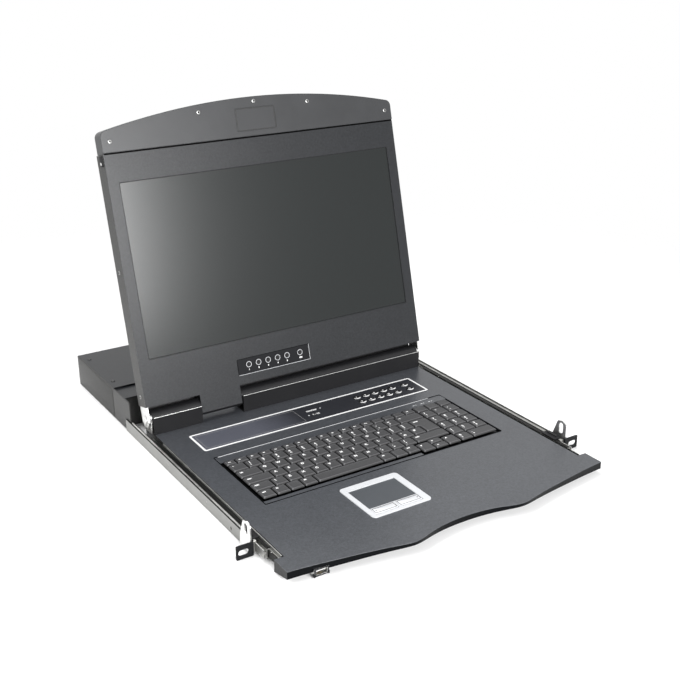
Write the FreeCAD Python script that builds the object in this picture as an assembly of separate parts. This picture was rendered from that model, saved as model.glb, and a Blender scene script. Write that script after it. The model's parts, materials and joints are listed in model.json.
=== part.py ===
import FreeCAD, Part
import math
import os

# Rackmount LCD console drawer, one rack unit high, in millimetres.
# The origin lies midway between the slots of the two rack ears, on the ears' rear faces.
# +X points right seen from the front, +Y into the rack, +Z up.
# The drawer stands a little way out of its case and the display is open.
# Heights are drawn from the underside and moved to the origin when a piece is saved.

os.makedirs("parts", exist_ok=True)
V = FreeCAD.Vector

# ---- Driving dimensions -------------------------------------------------------------------

# Sheet and clearances
sheet = 1.5
thin_sheet = 1.2
seam = 0.3
running = 0.05

# Rack ears and strike loops
ear_span = 482.6
ear_reach = 22.3
ear_edge = 8.75
ear_bottom = 0.4
ear_top = 17.2
ear_slot_width = 6.8
ear_slot_length = 12.6
ear_slot_height = 8.2
ear_leg_length = 25.0
ear_radius = 1.4
loop_thickness = 1.8
loop_top = 37.8
loop_depth = 15.2
loop_slot_width = 6.8
loop_slot_height = 14.0
loop_foot = 3.0
loop_roof = 3.2

# Case that holds the switch module, behind the drawer
case_height = 43.2
cover_depth = 133.7
deck_depth = 34.5
deck_drop = 2.5
cheek_reach = 23.0
cheek_radius = 5.0
vent_width = 3.2
vent_length = 22.0
vent_pitch = 12.0

# Side rails and the three slide members of each side
rail_height = 16.5
rail_overlap = 50.0
rail_hole_place = 51.0
rail_hole_radius = 2.0
slide_bottom = 1.5
slide_top = 15.0
slide_gap = 0.6
slide_room = 13.5
outer_member_depth = 4.7
mid_member_width = 4.2
slide_length = 300.0
slide_start = 2.0
catch_start = 6.0
catch_length = 24.0
catch_grip = 4.0

# Drawer tray
drawer_out = 37.5
wing_gap = 0.7
wing_depth = 27.0
wing_side_gap = 1.5
tray_bottom = 0.3
tray_top = 15.0
lobe_reach = 23.5
lobe_place = 74.0
lobe_dip = 10.3
lobe_shoulder = 0.73
lobe_turn = 1.266
lip_slope = 11.75
tray_to_case = 4.0

# Keyboard
key_pitch = 18.36
row_pitch = 18.2
function_row_depth = 12.2
block_units = 15.17
key_gap = 1.7
key_height = 2.4
key_lift = 2.1
key_taper = 1.3
key_corner = 1.0
well_corner = 3.0
enter_start = 13.67
enter_step = 0.29
stem_radius = 2.4
stem_length = 4.0
keyboard_margin = 3.2
keyboard_strip = 14.6
keyboard_strip_proud = 0.4
keyboard_plate = 3.2
keyboard_lap = 4.0
keyboard_left = -168.0
numpad_step = 6.0
numpad_pitch = 18.7
keys_behind_pad = 27.3

# Channel panel behind the keyboard
panel_width = 341.0
panel_depth = 48.6
panel_behind_keys = 38.6
panel_offset = -2.0
panel_proud = 0.5
panel_key_radius = 5.5
panel_key_pitch = 14.5
panel_key_travel = 0.6
panel_root = 4.0
panel_rim = 4.0
panel_corner = 3.0
panel_key_inset = 98.0
panel_key_step = 6.0
panel_key_collar = 0.9

# Touchpad
pad_frame_width = 80.0
pad_frame_depth = 73.5
pad_frame_radius = 5.0
pad_frame_proud = 0.9
pad_left = -86.5
pad_behind_lip = 38.0
pad_button_width = 30.5
pad_button_depth = 12.0
pad_button_setback = 5.4
pad_bar = 1.4
pad_button_radius = 0.8
pad_button_proud = 0.4
pad_button_lap = 0.7
pad_rim = 3.4
pad_skirt = 4.0
pad_wall = 1.0
pad_window_side = 6.5
pad_window_far_side = 9.0
pad_window_back = 9.8
pad_plate_drop = 3.2
pad_fit = 0.2

# Display hinge
hinge_height = 31.5
hinge_setback = 15.0
hinge_behind_panel = 42.3
barrel_radius = 12.0
pin_radius = 4.0
open_tilt = 14.3
cover_wall_front = 15.5
cover_wall_height = 7.0
cover_wall_rear = 13.2
cover_rear_drop = 3.5
neck_left = -138.0
neck_width = 58.0
neck_drop = 7.0
neck_wall = 2.0
bracket_thickness = 2.0
arm_thickness = 2.0
arm_height = 60.0
bracket_rise = 9.0
bracket_corner = 5.0
pin_head_lap = 1.6
pin_head_height = 1.0
bracket_foot = 12.0

# Display housing, measured from the hinge axis
display_side_gap = 6.5
bezel_front = 12.5
bezel_bottom = 17.2
window_side = 14.2
window_lift = 59.2
window_height = 222.1
window_head = 35.5
crown_side_height = 27.0
crown_rise = 24.5
crown_corner = 8.0
crown_wall = 2.5
crown_proud = 0.8
crown_groove = 1.4
crown_back_radius = 5.0
osd_width = 110.0
osd_height = 22.2
osd_left = -79.3
osd_lift = 11.4
osd_proud = 0.5
osd_corner = 2.0
osd_button_radius = 4.2
osd_button_pitch = 14.45
osd_power_step = 20.1
osd_button_travel = 0.8
osd_button_clear = 0.2
osd_button_inset = 16.2

# Screws
screw_radius = 1.5
screw_head_radius = 2.7
screw_head_height = 1.0
screw_length = 6.0

# Badge plate on the crown
badge_width = 58.0
badge_height = 30.0
badge_lift = 8.0
badge_proud = 0.5
badge_corner = 3.0

# ---- Places worked out from the driving dimensions ----------------------------------------

ear_hole_span = ear_span - 2 * ear_edge
case_width = ear_span - 2 * ear_reach
case_half = case_width / 2
case_inner = case_half - sheet
wing_span = case_width - 2 * wing_side_gap
tray_width = case_width - 2 * slide_room
display_width = case_width - 2 * display_side_gap
wing_rear = -(sheet + wing_gap + drawer_out)
tray_front = wing_rear - wing_depth
pad_front = tray_front + pad_behind_lip
pad_rear = pad_front + pad_frame_depth
keys_front = pad_rear + keys_behind_pad
keys_rear = keys_front + 5 * row_pitch + function_row_depth
panel_front = keys_rear + panel_behind_keys
panel_rear = panel_front + panel_depth
hinge_y = panel_rear + hinge_behind_panel
tray_rear = hinge_y + hinge_setback
deck_front = tray_rear + tray_to_case + drawer_out
cover_front = deck_front + deck_depth
case_rear = cover_front + cover_depth
deck_level = case_height - deck_drop
cheek_front = deck_front - cheek_reach
rail_outer = case_half + sheet
rail_end = cheek_front + rail_overlap / 4
ear_leg_outer = rail_outer + sheet
slide_root = case_half
tray_half = tray_width / 2
wing_half = wing_span / 2
hinge_z = hinge_height
outer_inner_edge = slide_root - outer_member_depth
mid_outer_edge = outer_inner_edge - slide_gap
mid_inner_edge = mid_outer_edge - mid_member_width
key_plate_top = tray_top - key_lift
cap_bottom = tray_top
block_width = key_pitch * block_units
block_right = keyboard_left + block_width
numpad_left = block_right + key_gap / 2
numpad_right = numpad_left + 3 * numpad_pitch
numpad_front = keys_front - numpad_step
arrows_left = keyboard_left + 12 * key_pitch
display_half = display_width / 2
window_width = display_width - 2 * window_side
window_bottom = bezel_bottom + window_lift
window_top = window_bottom + window_height
bezel_top = window_top + window_head
crown_side = bezel_top + crown_side_height
crown_peak = crown_side + crown_rise
osd_bottom = bezel_bottom + osd_lift
badge_bottom = bezel_top + badge_lift
arm_outer = display_half - thin_sheet
arm_inner = arm_outer - arm_thickness
bracket_outer = arm_inner - 2 * seam
bracket_inner = bracket_outer - bracket_thickness
barrel_half = bracket_inner - seam
cover_half = bracket_inner - seam
neck_right = neck_left + neck_width
tray_skin = tray_top - thin_sheet

# ---- Helpers ------------------------------------------------------------------------------


def box(x0, x1, y0, y1, z0, z1):
    """Block between two opposite corners."""
    return Part.makeBox(x1 - x0, y1 - y0, z1 - z0, V(x0, y0, z0))


def rod(radius, start, end):
    """Cylinder from one point to another."""
    axis = end - start
    return Part.makeCylinder(radius, axis.Length, start, axis)


def on_xy(a, b):
    return V(a, b, 0)


def on_yz(a, b):
    return V(0, a, b)


def on_xz(a, b):
    return V(a, 0, b)


def outline(corners, plane):
    """Closed face through the corners; a third value in a corner rounds it to that radius."""
    count = len(corners)
    points = [plane(c[0], c[1]) for c in corners]
    runs = []
    for i, corner in enumerate(corners):
        here = points[i]
        radius = corner[2] if len(corner) > 2 else 0
        if radius <= 0:
            runs.append((here, None, here))
            continue
        back = (points[i - 1] - here).normalize()
        ahead = (points[(i + 1) % count] - here).normalize()
        half = back.getAngle(ahead) / 2
        reach = radius / math.tan(half)
        middle = (back + ahead).normalize()
        centre = here + middle * (radius / math.sin(half))
        runs.append((here + back * reach, centre - middle * radius, here + ahead * reach))
    edges = []
    for i, (first, bulge, last) in enumerate(runs):
        if bulge is not None:
            edges.append(Part.Arc(first, bulge, last).toShape())
        following = runs[(i + 1) % count][0]
        if last.distanceToPoint(following) > 1e-6:
            edges.append(Part.LineSegment(last, following).toShape())
    return Part.Face(Part.Wire(edges))


def slab(corners, plane, low, high):
    """Outline swept between two levels along the normal of its plane."""
    normal = {on_xy: V(0, 0, 1), on_yz: V(1, 0, 0), on_xz: V(0, 1, 0)}[plane]
    face = outline(corners, plane)
    face.translate(normal * low)
    return face.extrude(normal * (high - low))


def rounded(x0, x1, y0, y1, radius):
    """Corners of a rectangle, each rounded."""
    return [(x0, y0, radius), (x1, y0, radius), (x1, y1, radius), (x0, y1, radius)]


def mirrored(shape):
    """Copy on the other side of the middle plane."""
    return shape.mirror(V(0, 0, 0), V(1, 0, 0))


def group(shapes):
    """Several separate solids kept in one sub-part."""
    return Part.makeCompound(shapes)


def pair(shape):
    """A solid and its mirror image, kept in one sub-part."""
    return group([shape, mirrored(shape)])


def fused(shapes):
    """One solid made of all the shapes."""
    return shapes[0].fuse(shapes[1:]).removeSplitter()


def save(name, shape):
    """Move a finished piece from the underside datum to the origin and write it."""
    shape.translated(V(0, 0, -ear_slot_height)).exportStep("parts/" + name + ".step")


def raised(shape):
    """Place a display piece, drawn upright about the hinge axis, at its open tilt."""
    placed = shape.copy()
    placed.rotate(V(0, 0, 0), V(1, 0, 0), -open_tilt)
    placed.translate(V(0, hinge_y, hinge_z))
    return placed


# ---- Case ---------------------------------------------------------------------------------


def side_plate():
    """Right side plate of the case, its front top corner rounded."""
    profile = [
        (cheek_front, 0),
        (case_rear, 0),
        (case_rear, case_height),
        (cheek_front, case_height, cheek_radius),
    ]
    return slab(profile, on_yz, case_inner, case_half)


def case_floor():
    """Floor of the case, bent up along its front edge."""
    floor = box(-case_inner, case_inner, deck_front, case_rear - sheet, 0, sheet)
    front = box(-case_inner, case_inner, deck_front, deck_front + sheet, 0, deck_level - sheet)
    return fused([floor, front])


def case_deck():
    """Low front deck of the case with a row of cooling slots."""
    deck = box(-case_inner, case_inner, deck_front, cover_front, deck_level - sheet, deck_level)
    middle = deck_front + deck_depth / 2
    count = int((case_width - 4 * vent_pitch) / vent_pitch)
    first = -(count - 1) * vent_pitch / 2
    slots = []
    for i in range(count):
        x = first + i * vent_pitch
        corners = rounded(x - vent_width / 2, x + vent_width / 2, middle - vent_length / 2,
                          middle + vent_length / 2, vent_width * 0.45)
        slots.append(slab(corners, on_xy, deck_level - 2 * sheet, deck_level + sheet))
    return deck.cut(group(slots))


cover_screw_side = 8.0
cover_screw_end = 22.0
cover_screws = [(case_inner - cover_screw_side, y) for y in (cover_front + cover_screw_end,
                                                            case_rear - cover_screw_end)]


def case_cover():
    """Lid of the case with a folded front edge."""
    top = box(-case_inner, case_inner, cover_front, case_rear, case_height - sheet, case_height)
    fold = box(-case_inner, case_inner, cover_front, cover_front + sheet, deck_level - sheet, case_height)
    lid = fused([top, fold])
    holes = []
    for x, y in cover_screws:
        for side in (-1, 1):
            holes.append(rod(screw_radius + running, V(side * x, y, 0), V(side * x, y, case_height + 1)))
    return lid.cut(group(holes))


board_bottom = 8.0
board_thickness = 1.6
board_top = board_bottom + board_thickness
board_margin = 8.0
post_radius = 3.0
chip_size = 22.0
chip_height = 2.6
inlet_inset = 39.5
inlet_x = -case_inner + inlet_inset
port_count = 8
port_space = 3.0
port_inset_left = 139.5
port_inset_right = 57.5
port_first = -case_inner + port_inset_left
port_pitch = (case_inner - port_inset_right - port_first) / (port_count - 1)
port_width = port_pitch - port_space
port_body_depth = 12.0
port_height = 12.5
shell_width = 17.0
shell_height = 8.4
shell_reach = 6.0
shell_slant = 1.2
port_level = board_top + port_height / 2
inlet_width = 27.0
inlet_height = 20.0
inlet_wall = 1.6
inlet_level = 21.0
inlet_depth = 18.0
blade_pitch = 7.0
blade_drop = 2.5
earth_drop = -1.5
blade_half = 1.0
rocker_setback = 26.0
rocker_x = inlet_x + rocker_setback
rocker_width = 13.0
rocker_height = 19.0
rocker_depth = 12.0
rocker_pin_radius = 1.0
rocker_pin_reach = 0.8
rocker_pin_inset = 3.5
rocker_pivot = case_rear - rocker_pin_inset
rocker_swing = 8.0
rocker_proud = 6.5
rocker_hollow = 1.5
rocker_keel = 3.0
entry_lip = 3.0
entry_flange = 2.0
entry_left = inlet_x - inlet_width / 2
entry_right = rocker_x + rocker_width / 2 + sheet
usb_width = 13.2
usb_height = 5.8


def rear_panel():
    """Rear wall with its connector openings."""
    wall = box(-case_inner, case_inner, case_rear - sheet, case_rear, sheet, case_height - sheet)
    cuts = []
    for i in range(port_count):
        x = port_first + i * port_pitch
        cuts.append(opening(x, port_level, shell_width + 2 * seam, shell_height + 2 * seam))
    cuts.append(opening((entry_left + entry_right) / 2, inlet_level, entry_right - entry_left + 2 * seam,
                        rocker_height + 2 * sheet + 2 * seam))
    return wall.cut(group(cuts))


def opening(x, z, width, height):
    """Rectangular cutter through the rear wall."""
    return box(x - width / 2, x + width / 2, case_rear - 3 * sheet, case_rear + sheet,
               z - height / 2, z + height / 2)


def main_board():
    """Switch board on its posts, with its larger chips."""
    left = port_first - port_width / 2 - board_margin
    right = case_inner - board_margin
    front = cover_front + 2 * board_margin
    rear = case_rear - sheet - seam
    parts = [box(left, right, front, rear, board_bottom, board_top)]
    for x in (left + board_margin, right - board_margin):
        for y in (front + board_margin, rear - port_body_depth - board_margin):
            parts.append(rod(post_radius, V(x, y, sheet), V(x, y, board_bottom)))
    for i in range(port_count // 2):
        x = port_first + (2 * i + 0.5) * port_pitch
        y = (front + rear) / 2
        parts.append(box(x - chip_size / 2, x + chip_size / 2, y - chip_size, y, board_top,
                         board_top + chip_height))
    return fused(parts)


def rear_ports():
    """Row of computer connectors standing on the switch board."""
    solids = []
    inside = case_rear - sheet - seam
    for i in range(port_count):
        x = port_first + i * port_pitch
        body = box(x - port_width / 2, x + port_width / 2, inside - port_body_depth, inside, board_top,
                   board_top + port_height)
        low = port_level - shell_height / 2
        high = port_level + shell_height / 2
        corners = [
            (x - shell_width / 2 + shell_slant, low, sheet),
            (x + shell_width / 2 - shell_slant, low, sheet),
            (x + shell_width / 2, high, sheet),
            (x - shell_width / 2, high, sheet),
        ]
        shell = slab(corners, on_xz, inside - sheet, case_rear + shell_reach)
        solids.append(fused([body, shell]))
    return group(solids)


def power_entry():
    """Mains entry: a socket with three blades and the frame of the rocker switch on one flange."""
    half = rocker_height / 2 + sheet
    flange = box(entry_left - entry_lip, entry_right + entry_lip, case_rear, case_rear + entry_flange,
                 inlet_level - half - entry_lip, inlet_level + half + entry_lip)
    body = box(entry_left, entry_right, case_rear - inlet_depth, case_rear, inlet_level - half,
               inlet_level + half)
    socket = box(entry_left + inlet_wall, entry_left + inlet_width - inlet_wall,
                 case_rear - inlet_depth + 2 * inlet_wall, case_rear + 2 * entry_flange,
                 inlet_level - inlet_height / 2 + inlet_wall, inlet_level + inlet_height / 2 - inlet_wall)
    well = box(rocker_x - rocker_width / 2, rocker_x + rocker_width / 2, case_rear - rocker_depth,
               case_rear + 2 * entry_flange, inlet_level - rocker_height / 2,
               inlet_level + rocker_height / 2)
    pin_end = rocker_width / 2 + rocker_pin_reach + seam
    pivot = rod(rocker_pin_radius + running, V(rocker_x - pin_end, rocker_pivot, inlet_level),
                V(rocker_x + pin_end, rocker_pivot, inlet_level))
    entry = fused([flange, body]).cut(group([socket, well])).cut(pivot)
    blades = []
    for column, drop in ((-1, blade_drop), (0, earth_drop), (1, blade_drop)):
        x = inlet_x + column * blade_pitch
        z = inlet_level - drop
        blades.append(box(x - blade_half, x + blade_half, case_rear - inlet_depth + inlet_wall,
                          case_rear - entry_flange, z - 2 * blade_half, z + 2 * blade_half))
    return fused([entry] + blades)


def power_rocker():
    """Rocking key of the mains switch with its two pivot pins, tipped to its off side."""
    half = rocker_width / 2 - seam
    reach = rocker_height / 2 - 4 * seam
    front = rocker_pivot + rocker_proud
    edge = 2 * seam
    profile = [
        (rocker_pivot + edge, inlet_level - reach, edge),
        (front, inlet_level - reach + edge, edge),
        (front - rocker_hollow, inlet_level, 2 * rocker_pin_inset),
        (front, inlet_level + reach - edge, edge),
        (rocker_pivot + edge, inlet_level + reach, edge),
        (rocker_pivot - rocker_keel, inlet_level, 2 * rocker_pin_radius),
    ]
    key = slab(profile, on_yz, rocker_x - half, rocker_x + half)
    pin_end = rocker_width / 2 + rocker_pin_reach
    pins = rod(rocker_pin_radius, V(rocker_x - pin_end, rocker_pivot, inlet_level),
               V(rocker_x + pin_end, rocker_pivot, inlet_level))
    rocker = fused([key, pins])
    rocker.rotate(V(rocker_x, rocker_pivot, inlet_level), V(1, 0, 0), rocker_swing)
    return rocker


supply_margin = 6.0
supply_clear = 26.0
transformer_size = 32.0
transformer_height = 20.0
capacitor_radius = 6.0
capacitor_height = 22.0
sink_thickness = 3.0
sink_height = 24.0


def power_supply():
    """Open power supply: a board on four posts with a transformer, capacitors and heat sinks."""
    left = -case_inner + supply_margin
    right = port_first - port_pitch
    front = cover_front + supply_clear
    rear = case_rear - supply_clear
    parts = [box(left, right, front, rear, board_bottom, board_top)]
    for x in (left + supply_margin, right - supply_margin):
        for y in (front + supply_margin, rear - supply_margin):
            parts.append(rod(post_radius, V(x, y, sheet), V(x, y, board_bottom)))
    middle = (left + right) / 2
    start = front + 2 * supply_margin
    parts.append(box(middle - transformer_size / 2, middle + transformer_size / 2, start,
                     start + transformer_size, board_top, board_top + transformer_height))
    for step in (1, 2):
        x = left + (1 + 2.5 * step) * capacitor_radius
        y = rear - 3 * supply_margin
        parts.append(rod(capacitor_radius, V(x, y, board_top), V(x, y, board_top + capacitor_height)))
    for x in (left + supply_margin, right - supply_margin - sink_thickness):
        parts.append(box(x, x + sink_thickness, start, start + transformer_size, board_top,
                         board_top + sink_height))
    return fused(parts)


def screw(head, direction):
    """Pan-head screw whose head sits on a surface point, its shank going in along direction."""
    inward = V(*direction)
    shank = rod(screw_radius, head, head + inward * screw_length)
    cap = rod(screw_head_radius, head - inward * screw_head_height, head)
    return fused([cap, shank])


def case_screws():
    """Screws of the lid and of the case sides."""
    solids = []
    for x, y in cover_screws:
        for side in (-1, 1):
            solids.append(screw(V(side * x, y, case_height), (0, 0, -1)))
    return group(solids)


# ---- Rails, ears and slides ---------------------------------------------------------------


def rail():
    """Right rail: the upright steel strip that carries the outer slide member."""
    strip = box(case_half, rail_outer, sheet, rail_end, 0, rail_height)
    level = rail_height * 0.36
    hole = rod(rail_hole_radius, V(case_half - sheet, rail_hole_place, level),
               V(rail_outer + sheet, rail_hole_place, level))
    return strip.cut(hole)


def channel(x_back, x_edge, y0, y1, z0, z1, wall):
    """C-section of sheet with its back at x_back, opening towards x_edge."""
    inward = 1 if x_edge > x_back else -1
    outer = box(min(x_back, x_edge), max(x_back, x_edge), y0, y1, z0, z1)
    inner_back = x_back + inward * wall
    far = x_edge + inward
    return outer.cut(box(min(inner_back, far), max(inner_back, far), y0 - 1, y1 + 1, z0 + wall, z1 - wall))


outer_end = cheek_front - seam
web_low = (slide_bottom + slide_top) / 2 - thin_sheet / 2
web_high = web_low + thin_sheet
head_low = slide_bottom + thin_sheet + slide_gap
head_high = slide_top - thin_sheet - slide_gap


def outer_member():
    """Fixed slide member on the rail."""
    return channel(slide_root, outer_inner_edge, slide_start, outer_end, slide_bottom, slide_top, thin_sheet)


def mid_member():
    """Middle slide member: a head inside the outer member and a channel for the inner one."""
    start = slide_start - drawer_out / 2
    end = start + slide_length
    head_outer = slide_root - thin_sheet - slide_gap
    head = box(head_outer - thin_sheet, head_outer, start, end, head_low, head_high)
    web = box(mid_outer_edge - thin_sheet / 2, head_outer, start, end, web_low, web_high)
    tray_side = channel(mid_outer_edge, mid_inner_edge, start, end, slide_bottom + seam / 2,
                        slide_top - seam / 2, thin_sheet)
    return fused([head, web, tray_side])


def inner_member():
    """Inner slide member on the side of the tray."""
    start = slide_start - drawer_out
    end = start + slide_length
    head_outer = mid_outer_edge - thin_sheet - slide_gap
    head = box(head_outer - thin_sheet, head_outer, start, end, head_low + seam, head_high - seam)
    web = box(tray_half + thin_sheet / 2, head_outer, start, end, web_low, web_high)
    back = box(tray_half, tray_half + thin_sheet, start, end, slide_bottom + thin_sheet,
               slide_top - sheet)
    return fused([head, web, back])


def slide_catch():
    """Plastic cap on the front end of the outer member, which stops the sliding members."""
    roof = box(mid_inner_edge, slide_root, catch_start, catch_start + catch_length, slide_top,
               slide_top + sheet)
    grip = box(outer_inner_edge + slide_gap, slide_root, catch_start + catch_grip,
               catch_start + catch_length - catch_grip, slide_top + sheet, slide_top + 2 * sheet)
    return fused([roof, grip])


def rack_ear():
    """Right rack ear: a slotted plate and the leg that holds it to the rail."""
    slot_x = ear_hole_span / 2
    plate = slab(rounded(rail_outer, ear_span / 2, ear_bottom, ear_top, ear_radius), on_xz, -sheet, 0)
    half = ear_slot_length / 2
    slot = slab(rounded(slot_x - half, slot_x + half, ear_slot_height - ear_slot_width / 2,
                        ear_slot_height + ear_slot_width / 2, ear_slot_width * 0.499),
                on_xz, -2 * sheet, sheet)
    leg = box(rail_outer, ear_leg_outer, -sheet, ear_leg_length, ear_bottom + ear_radius,
              rail_height - seam)
    return fused([plate, leg]).cut(slot)


def strike_loop():
    """Right strike loop: an upright steel plate with a tall slot, behind the rack ear."""
    rear = ear_leg_length - seam
    profile = [
        (seam, loop_foot),
        (rear, loop_foot),
        (rear - loop_thickness, ear_top, loop_thickness / 2),
        (loop_depth + seam, loop_top - loop_thickness, loop_thickness),
        (loop_depth / 2, loop_top, loop_foot),
        (seam, loop_top - loop_roof, loop_foot),
    ]
    plate = slab(profile, on_yz, ear_leg_outer, ear_leg_outer + loop_thickness)
    middle = (loop_depth + loop_roof) / 2
    high = loop_top - loop_roof
    slot = slab(rounded(middle - loop_slot_width / 2, middle + loop_slot_width / 2,
                        high - loop_slot_height, high, loop_slot_width * 0.49),
                on_yz, ear_leg_outer - 1, ear_leg_outer + loop_thickness + 1)
    return plate.cut(slot)


# ---- Tray ---------------------------------------------------------------------------------


def tray_outline(inset):
    """Plan of the tray with its wings and wavy front lip, drawn inside by an inset."""
    wing = wing_half - inset
    side = tray_half - inset
    lip = tray_front + inset
    back = tray_rear - inset
    step = wing_rear - inset
    half = [
        (wing, lip),
        (wing * lobe_shoulder, lip - lobe_reach / 3),
        (lobe_place * lobe_turn, lip - lobe_reach * 0.86),
        (lobe_place, lip - lobe_reach),
        (lobe_place * 0.7, lip - lobe_reach * 0.76),
        (lobe_place * 0.38, lip - lobe_dip * 1.2),
        (0, lip - lobe_dip),
    ]
    left = [(-x, y) for x, y in half[:-1]]
    points = [V(x, y, 0) for x, y in left] + [V(x, y, 0) for x, y in reversed(half)]
    curve = Part.BSplineCurve()
    curve.interpolate(points)
    corners = [
        points[-1],
        V(wing, step, 0),
        V(side, step, 0),
        V(side, back, 0),
        V(-side, back, 0),
        V(-side, step, 0),
        V(-wing, step, 0),
        points[0],
    ]
    edges = [curve.toShape()]
    for start, end in zip(corners, corners[1:]):
        edges.append(Part.LineSegment(start, end).toShape())
    return Part.Face(Part.Wire(edges))


def lip_profile(lift, top):
    """Side view of the tray's inside from a lift above its underside up to a level."""
    reach = 2 * wing_depth + lobe_reach
    rise = reach * math.tan(math.radians(lip_slope))
    end = tray_rear + wing_depth
    return [
        (wing_rear - reach, tray_bottom + lift + rise),
        (wing_rear, tray_bottom + lift),
        (end, tray_bottom + lift),
        (end, top),
        (wing_rear - reach, top),
    ]


def tray_prism(inset):
    """Tray plan swept through the whole height of the drawer."""
    face = tray_outline(inset)
    return face.extrude(V(0, 0, case_height))


def keyboard_corners(margin):
    """Plan of the keyboard with its stepped front edge, drawn outside the keys by a margin."""
    left = keyboard_left - margin
    right = numpad_right + margin
    rear = keys_rear + keyboard_strip + margin - keyboard_margin
    step = arrows_left - margin
    return [
        (left, keys_front - margin, key_corner),
        (step, keys_front - margin),
        (step, numpad_front - margin, key_corner / 2),
        (right, numpad_front - margin, key_corner),
        (right, rear, well_corner),
        (left, rear, well_corner),
    ]


panel_left = panel_offset - panel_width / 2
panel_right = panel_left + panel_width
pad_right = pad_left + pad_frame_width
usb_inset = 25.5
usb_x = -tray_half + usb_inset
usb_case_width = 17.0
usb_case_bottom = 1.4
usb_case_top = 10.2
usb_depth = 15.0
usb_proud = 5.4
usb_front = tray_front - usb_proud


def usb_pocket(clearance):
    """Block that the front USB socket fills, grown by a clearance."""
    half = usb_case_width / 2 + clearance
    return box(usb_x - half, usb_x + half, usb_front - 2, usb_front + usb_depth + clearance, -1,
               usb_case_top + clearance)


def tray_deck():
    """Top of the tray: one folded sheet with openings for the keyboard, panel and touchpad."""
    body = tray_prism(0).common(slab(lip_profile(0, tray_top), on_yz, -wing_span, wing_span))
    inside = slab(lip_profile(-tray_skin, tray_skin), on_yz, -wing_span, wing_span)
    body = body.cut(tray_prism(thin_sheet).common(inside))
    keyboard_hole = slab(keyboard_corners(keyboard_margin), on_xy, 0, case_height)
    panel_hole = box(panel_left + panel_rim, panel_right - panel_rim, panel_front + panel_rim,
                     panel_rear - panel_rim, 0, case_height)
    pad_hole = box(pad_left + pad_rim, pad_right - pad_rim, pad_front + pad_rim, pad_rear - pad_rim, 0,
                   case_height)
    holes = group([keyboard_hole, panel_hole, pad_hole])
    top_sheet = box(-wing_span, wing_span, tray_front - wing_depth, tray_rear - 2 * thin_sheet,
                    tray_skin - seam, tray_top + seam)
    return body.cut(holes.common(top_sheet)).cut(usb_pocket(seam))


def tray_pan():
    """Bottom of the tray, which closes it from below and slopes up under the lip."""
    layer = slab(lip_profile(0, tray_top), on_yz, -wing_span, wing_span)
    above = slab(lip_profile(thin_sheet, tray_top + sheet), on_yz, -wing_span, wing_span)
    pan = tray_prism(thin_sheet + seam / 2).common(layer.cut(above))
    return pan.cut(usb_pocket(seam))


# Each row of keys: its name, its row number from the front and the widths of its keys in
# pitches. None fills what is left of the row.
key_rows = [
    ("keys_lower_row", 1, [1.45] + [1] * 11 + [None]),
    ("keys_home_row", 2, [1.96] + [1] * 12),
    ("keys_upper_row", 3, [1.67] + [1] * 12),
    ("keys_number_row", 4, [1.15] + [1] * 12 + [None]),
    ("keys_function_row", 5, [0.8] + [(block_units - 0.8) / 16] * 16),
]


def key_cell(x0, x1, y0, y1):
    """One key: a tapered cap on its stem, inside a cell of the key grid."""
    gap = key_gap / 2
    low = [(x0 + gap, y0 + gap), (x1 - gap, y0 + gap), (x1 - gap, y1 - gap), (x0 + gap, y1 - gap)]
    t = gap + key_taper
    high = [(x0 + t, y0 + t), (x1 - t, y0 + t), (x1 - t, y1 - t * 0.75), (x0 + t, y1 - t * 0.75)]
    wires = []
    for corners, z in ((low, cap_bottom), (high, cap_bottom + key_height)):
        points = [V(x, y, z) for x, y in corners]
        wires.append(Part.makePolygon(points + [points[0]]))
    cap = Part.makeLoft(wires, True, True)
    middle = V((x0 + x1) / 2, (y0 + y1) / 2, cap_bottom)
    return fused([cap, rod(stem_radius, middle - V(0, 0, stem_length), middle + V(0, 0, key_height / 2))])


def stem_place(cell):
    return V((cell[0] + cell[1]) / 2, (cell[2] + cell[3]) / 2, 0)


def row_cells(row, widths, start=keyboard_left, end=block_right):
    """Cells of one row of the main block."""
    y0 = keys_front + row * row_pitch
    y1 = y0 + (function_row_depth if row == 5 else row_pitch)
    cells = []
    x = start
    for width in widths:
        right = end if width is None else x + width * key_pitch
        cells.append((x, right, y0, y1))
        x = right
    return cells


def enter_cells():
    """The two halves of the large return key, which spans two rows."""
    left = keyboard_left + enter_start * key_pitch
    levels = [keys_front + row * row_pitch for row in (2, 3, 4)]
    upper = (left, block_right, levels[1], levels[2])
    lower = (left + enter_step * key_pitch, block_right, levels[0], levels[1])
    return upper, lower


def enter_key():
    """Return key: two tapered blocks joined into one cap."""
    upper, lower = enter_cells()
    tall_lower = (lower[0], lower[1], lower[2], lower[3] + key_gap + 2 * key_taper)
    one = key_cell(*upper)
    gap = key_gap / 2
    t = gap + key_taper
    low = [(lower[0] + gap, lower[2] + gap), (lower[1] - gap, lower[2] + gap),
           (lower[1] - gap, tall_lower[3]), (lower[0] + gap, tall_lower[3])]
    high = [(lower[0] + t, lower[2] + t), (lower[1] - t, lower[2] + t),
            (lower[1] - t, tall_lower[3]), (lower[0] + t, tall_lower[3])]
    wires = []
    for corners, z in ((low, cap_bottom), (high, cap_bottom + key_height)):
        points = [V(x, y, z) for x, y in corners]
        wires.append(Part.makePolygon(points + [points[0]]))
    return fused([one, Part.makeLoft(wires, True, True)])


def space_cells():
    """Cells of the front row: four keys, the space bar, three keys."""
    return row_cells(0, [1] * 4 + [5] + [1] * 3)


def arrow_cells():
    """Cells of the four arrow keys."""
    column = (block_right - arrows_left) / 3
    low = numpad_front
    mid = numpad_front + (keys_front + row_pitch - numpad_front) / 2
    side_top = keys_front + row_pitch - 3
    x = [arrows_left + i * column for i in range(4)]
    return [
        (x[0], x[1], low, side_top),
        (x[1], x[2], low, mid),
        (x[1], x[2], mid, keys_front + row_pitch),
        (x[2], x[3], low, side_top),
    ]


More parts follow.
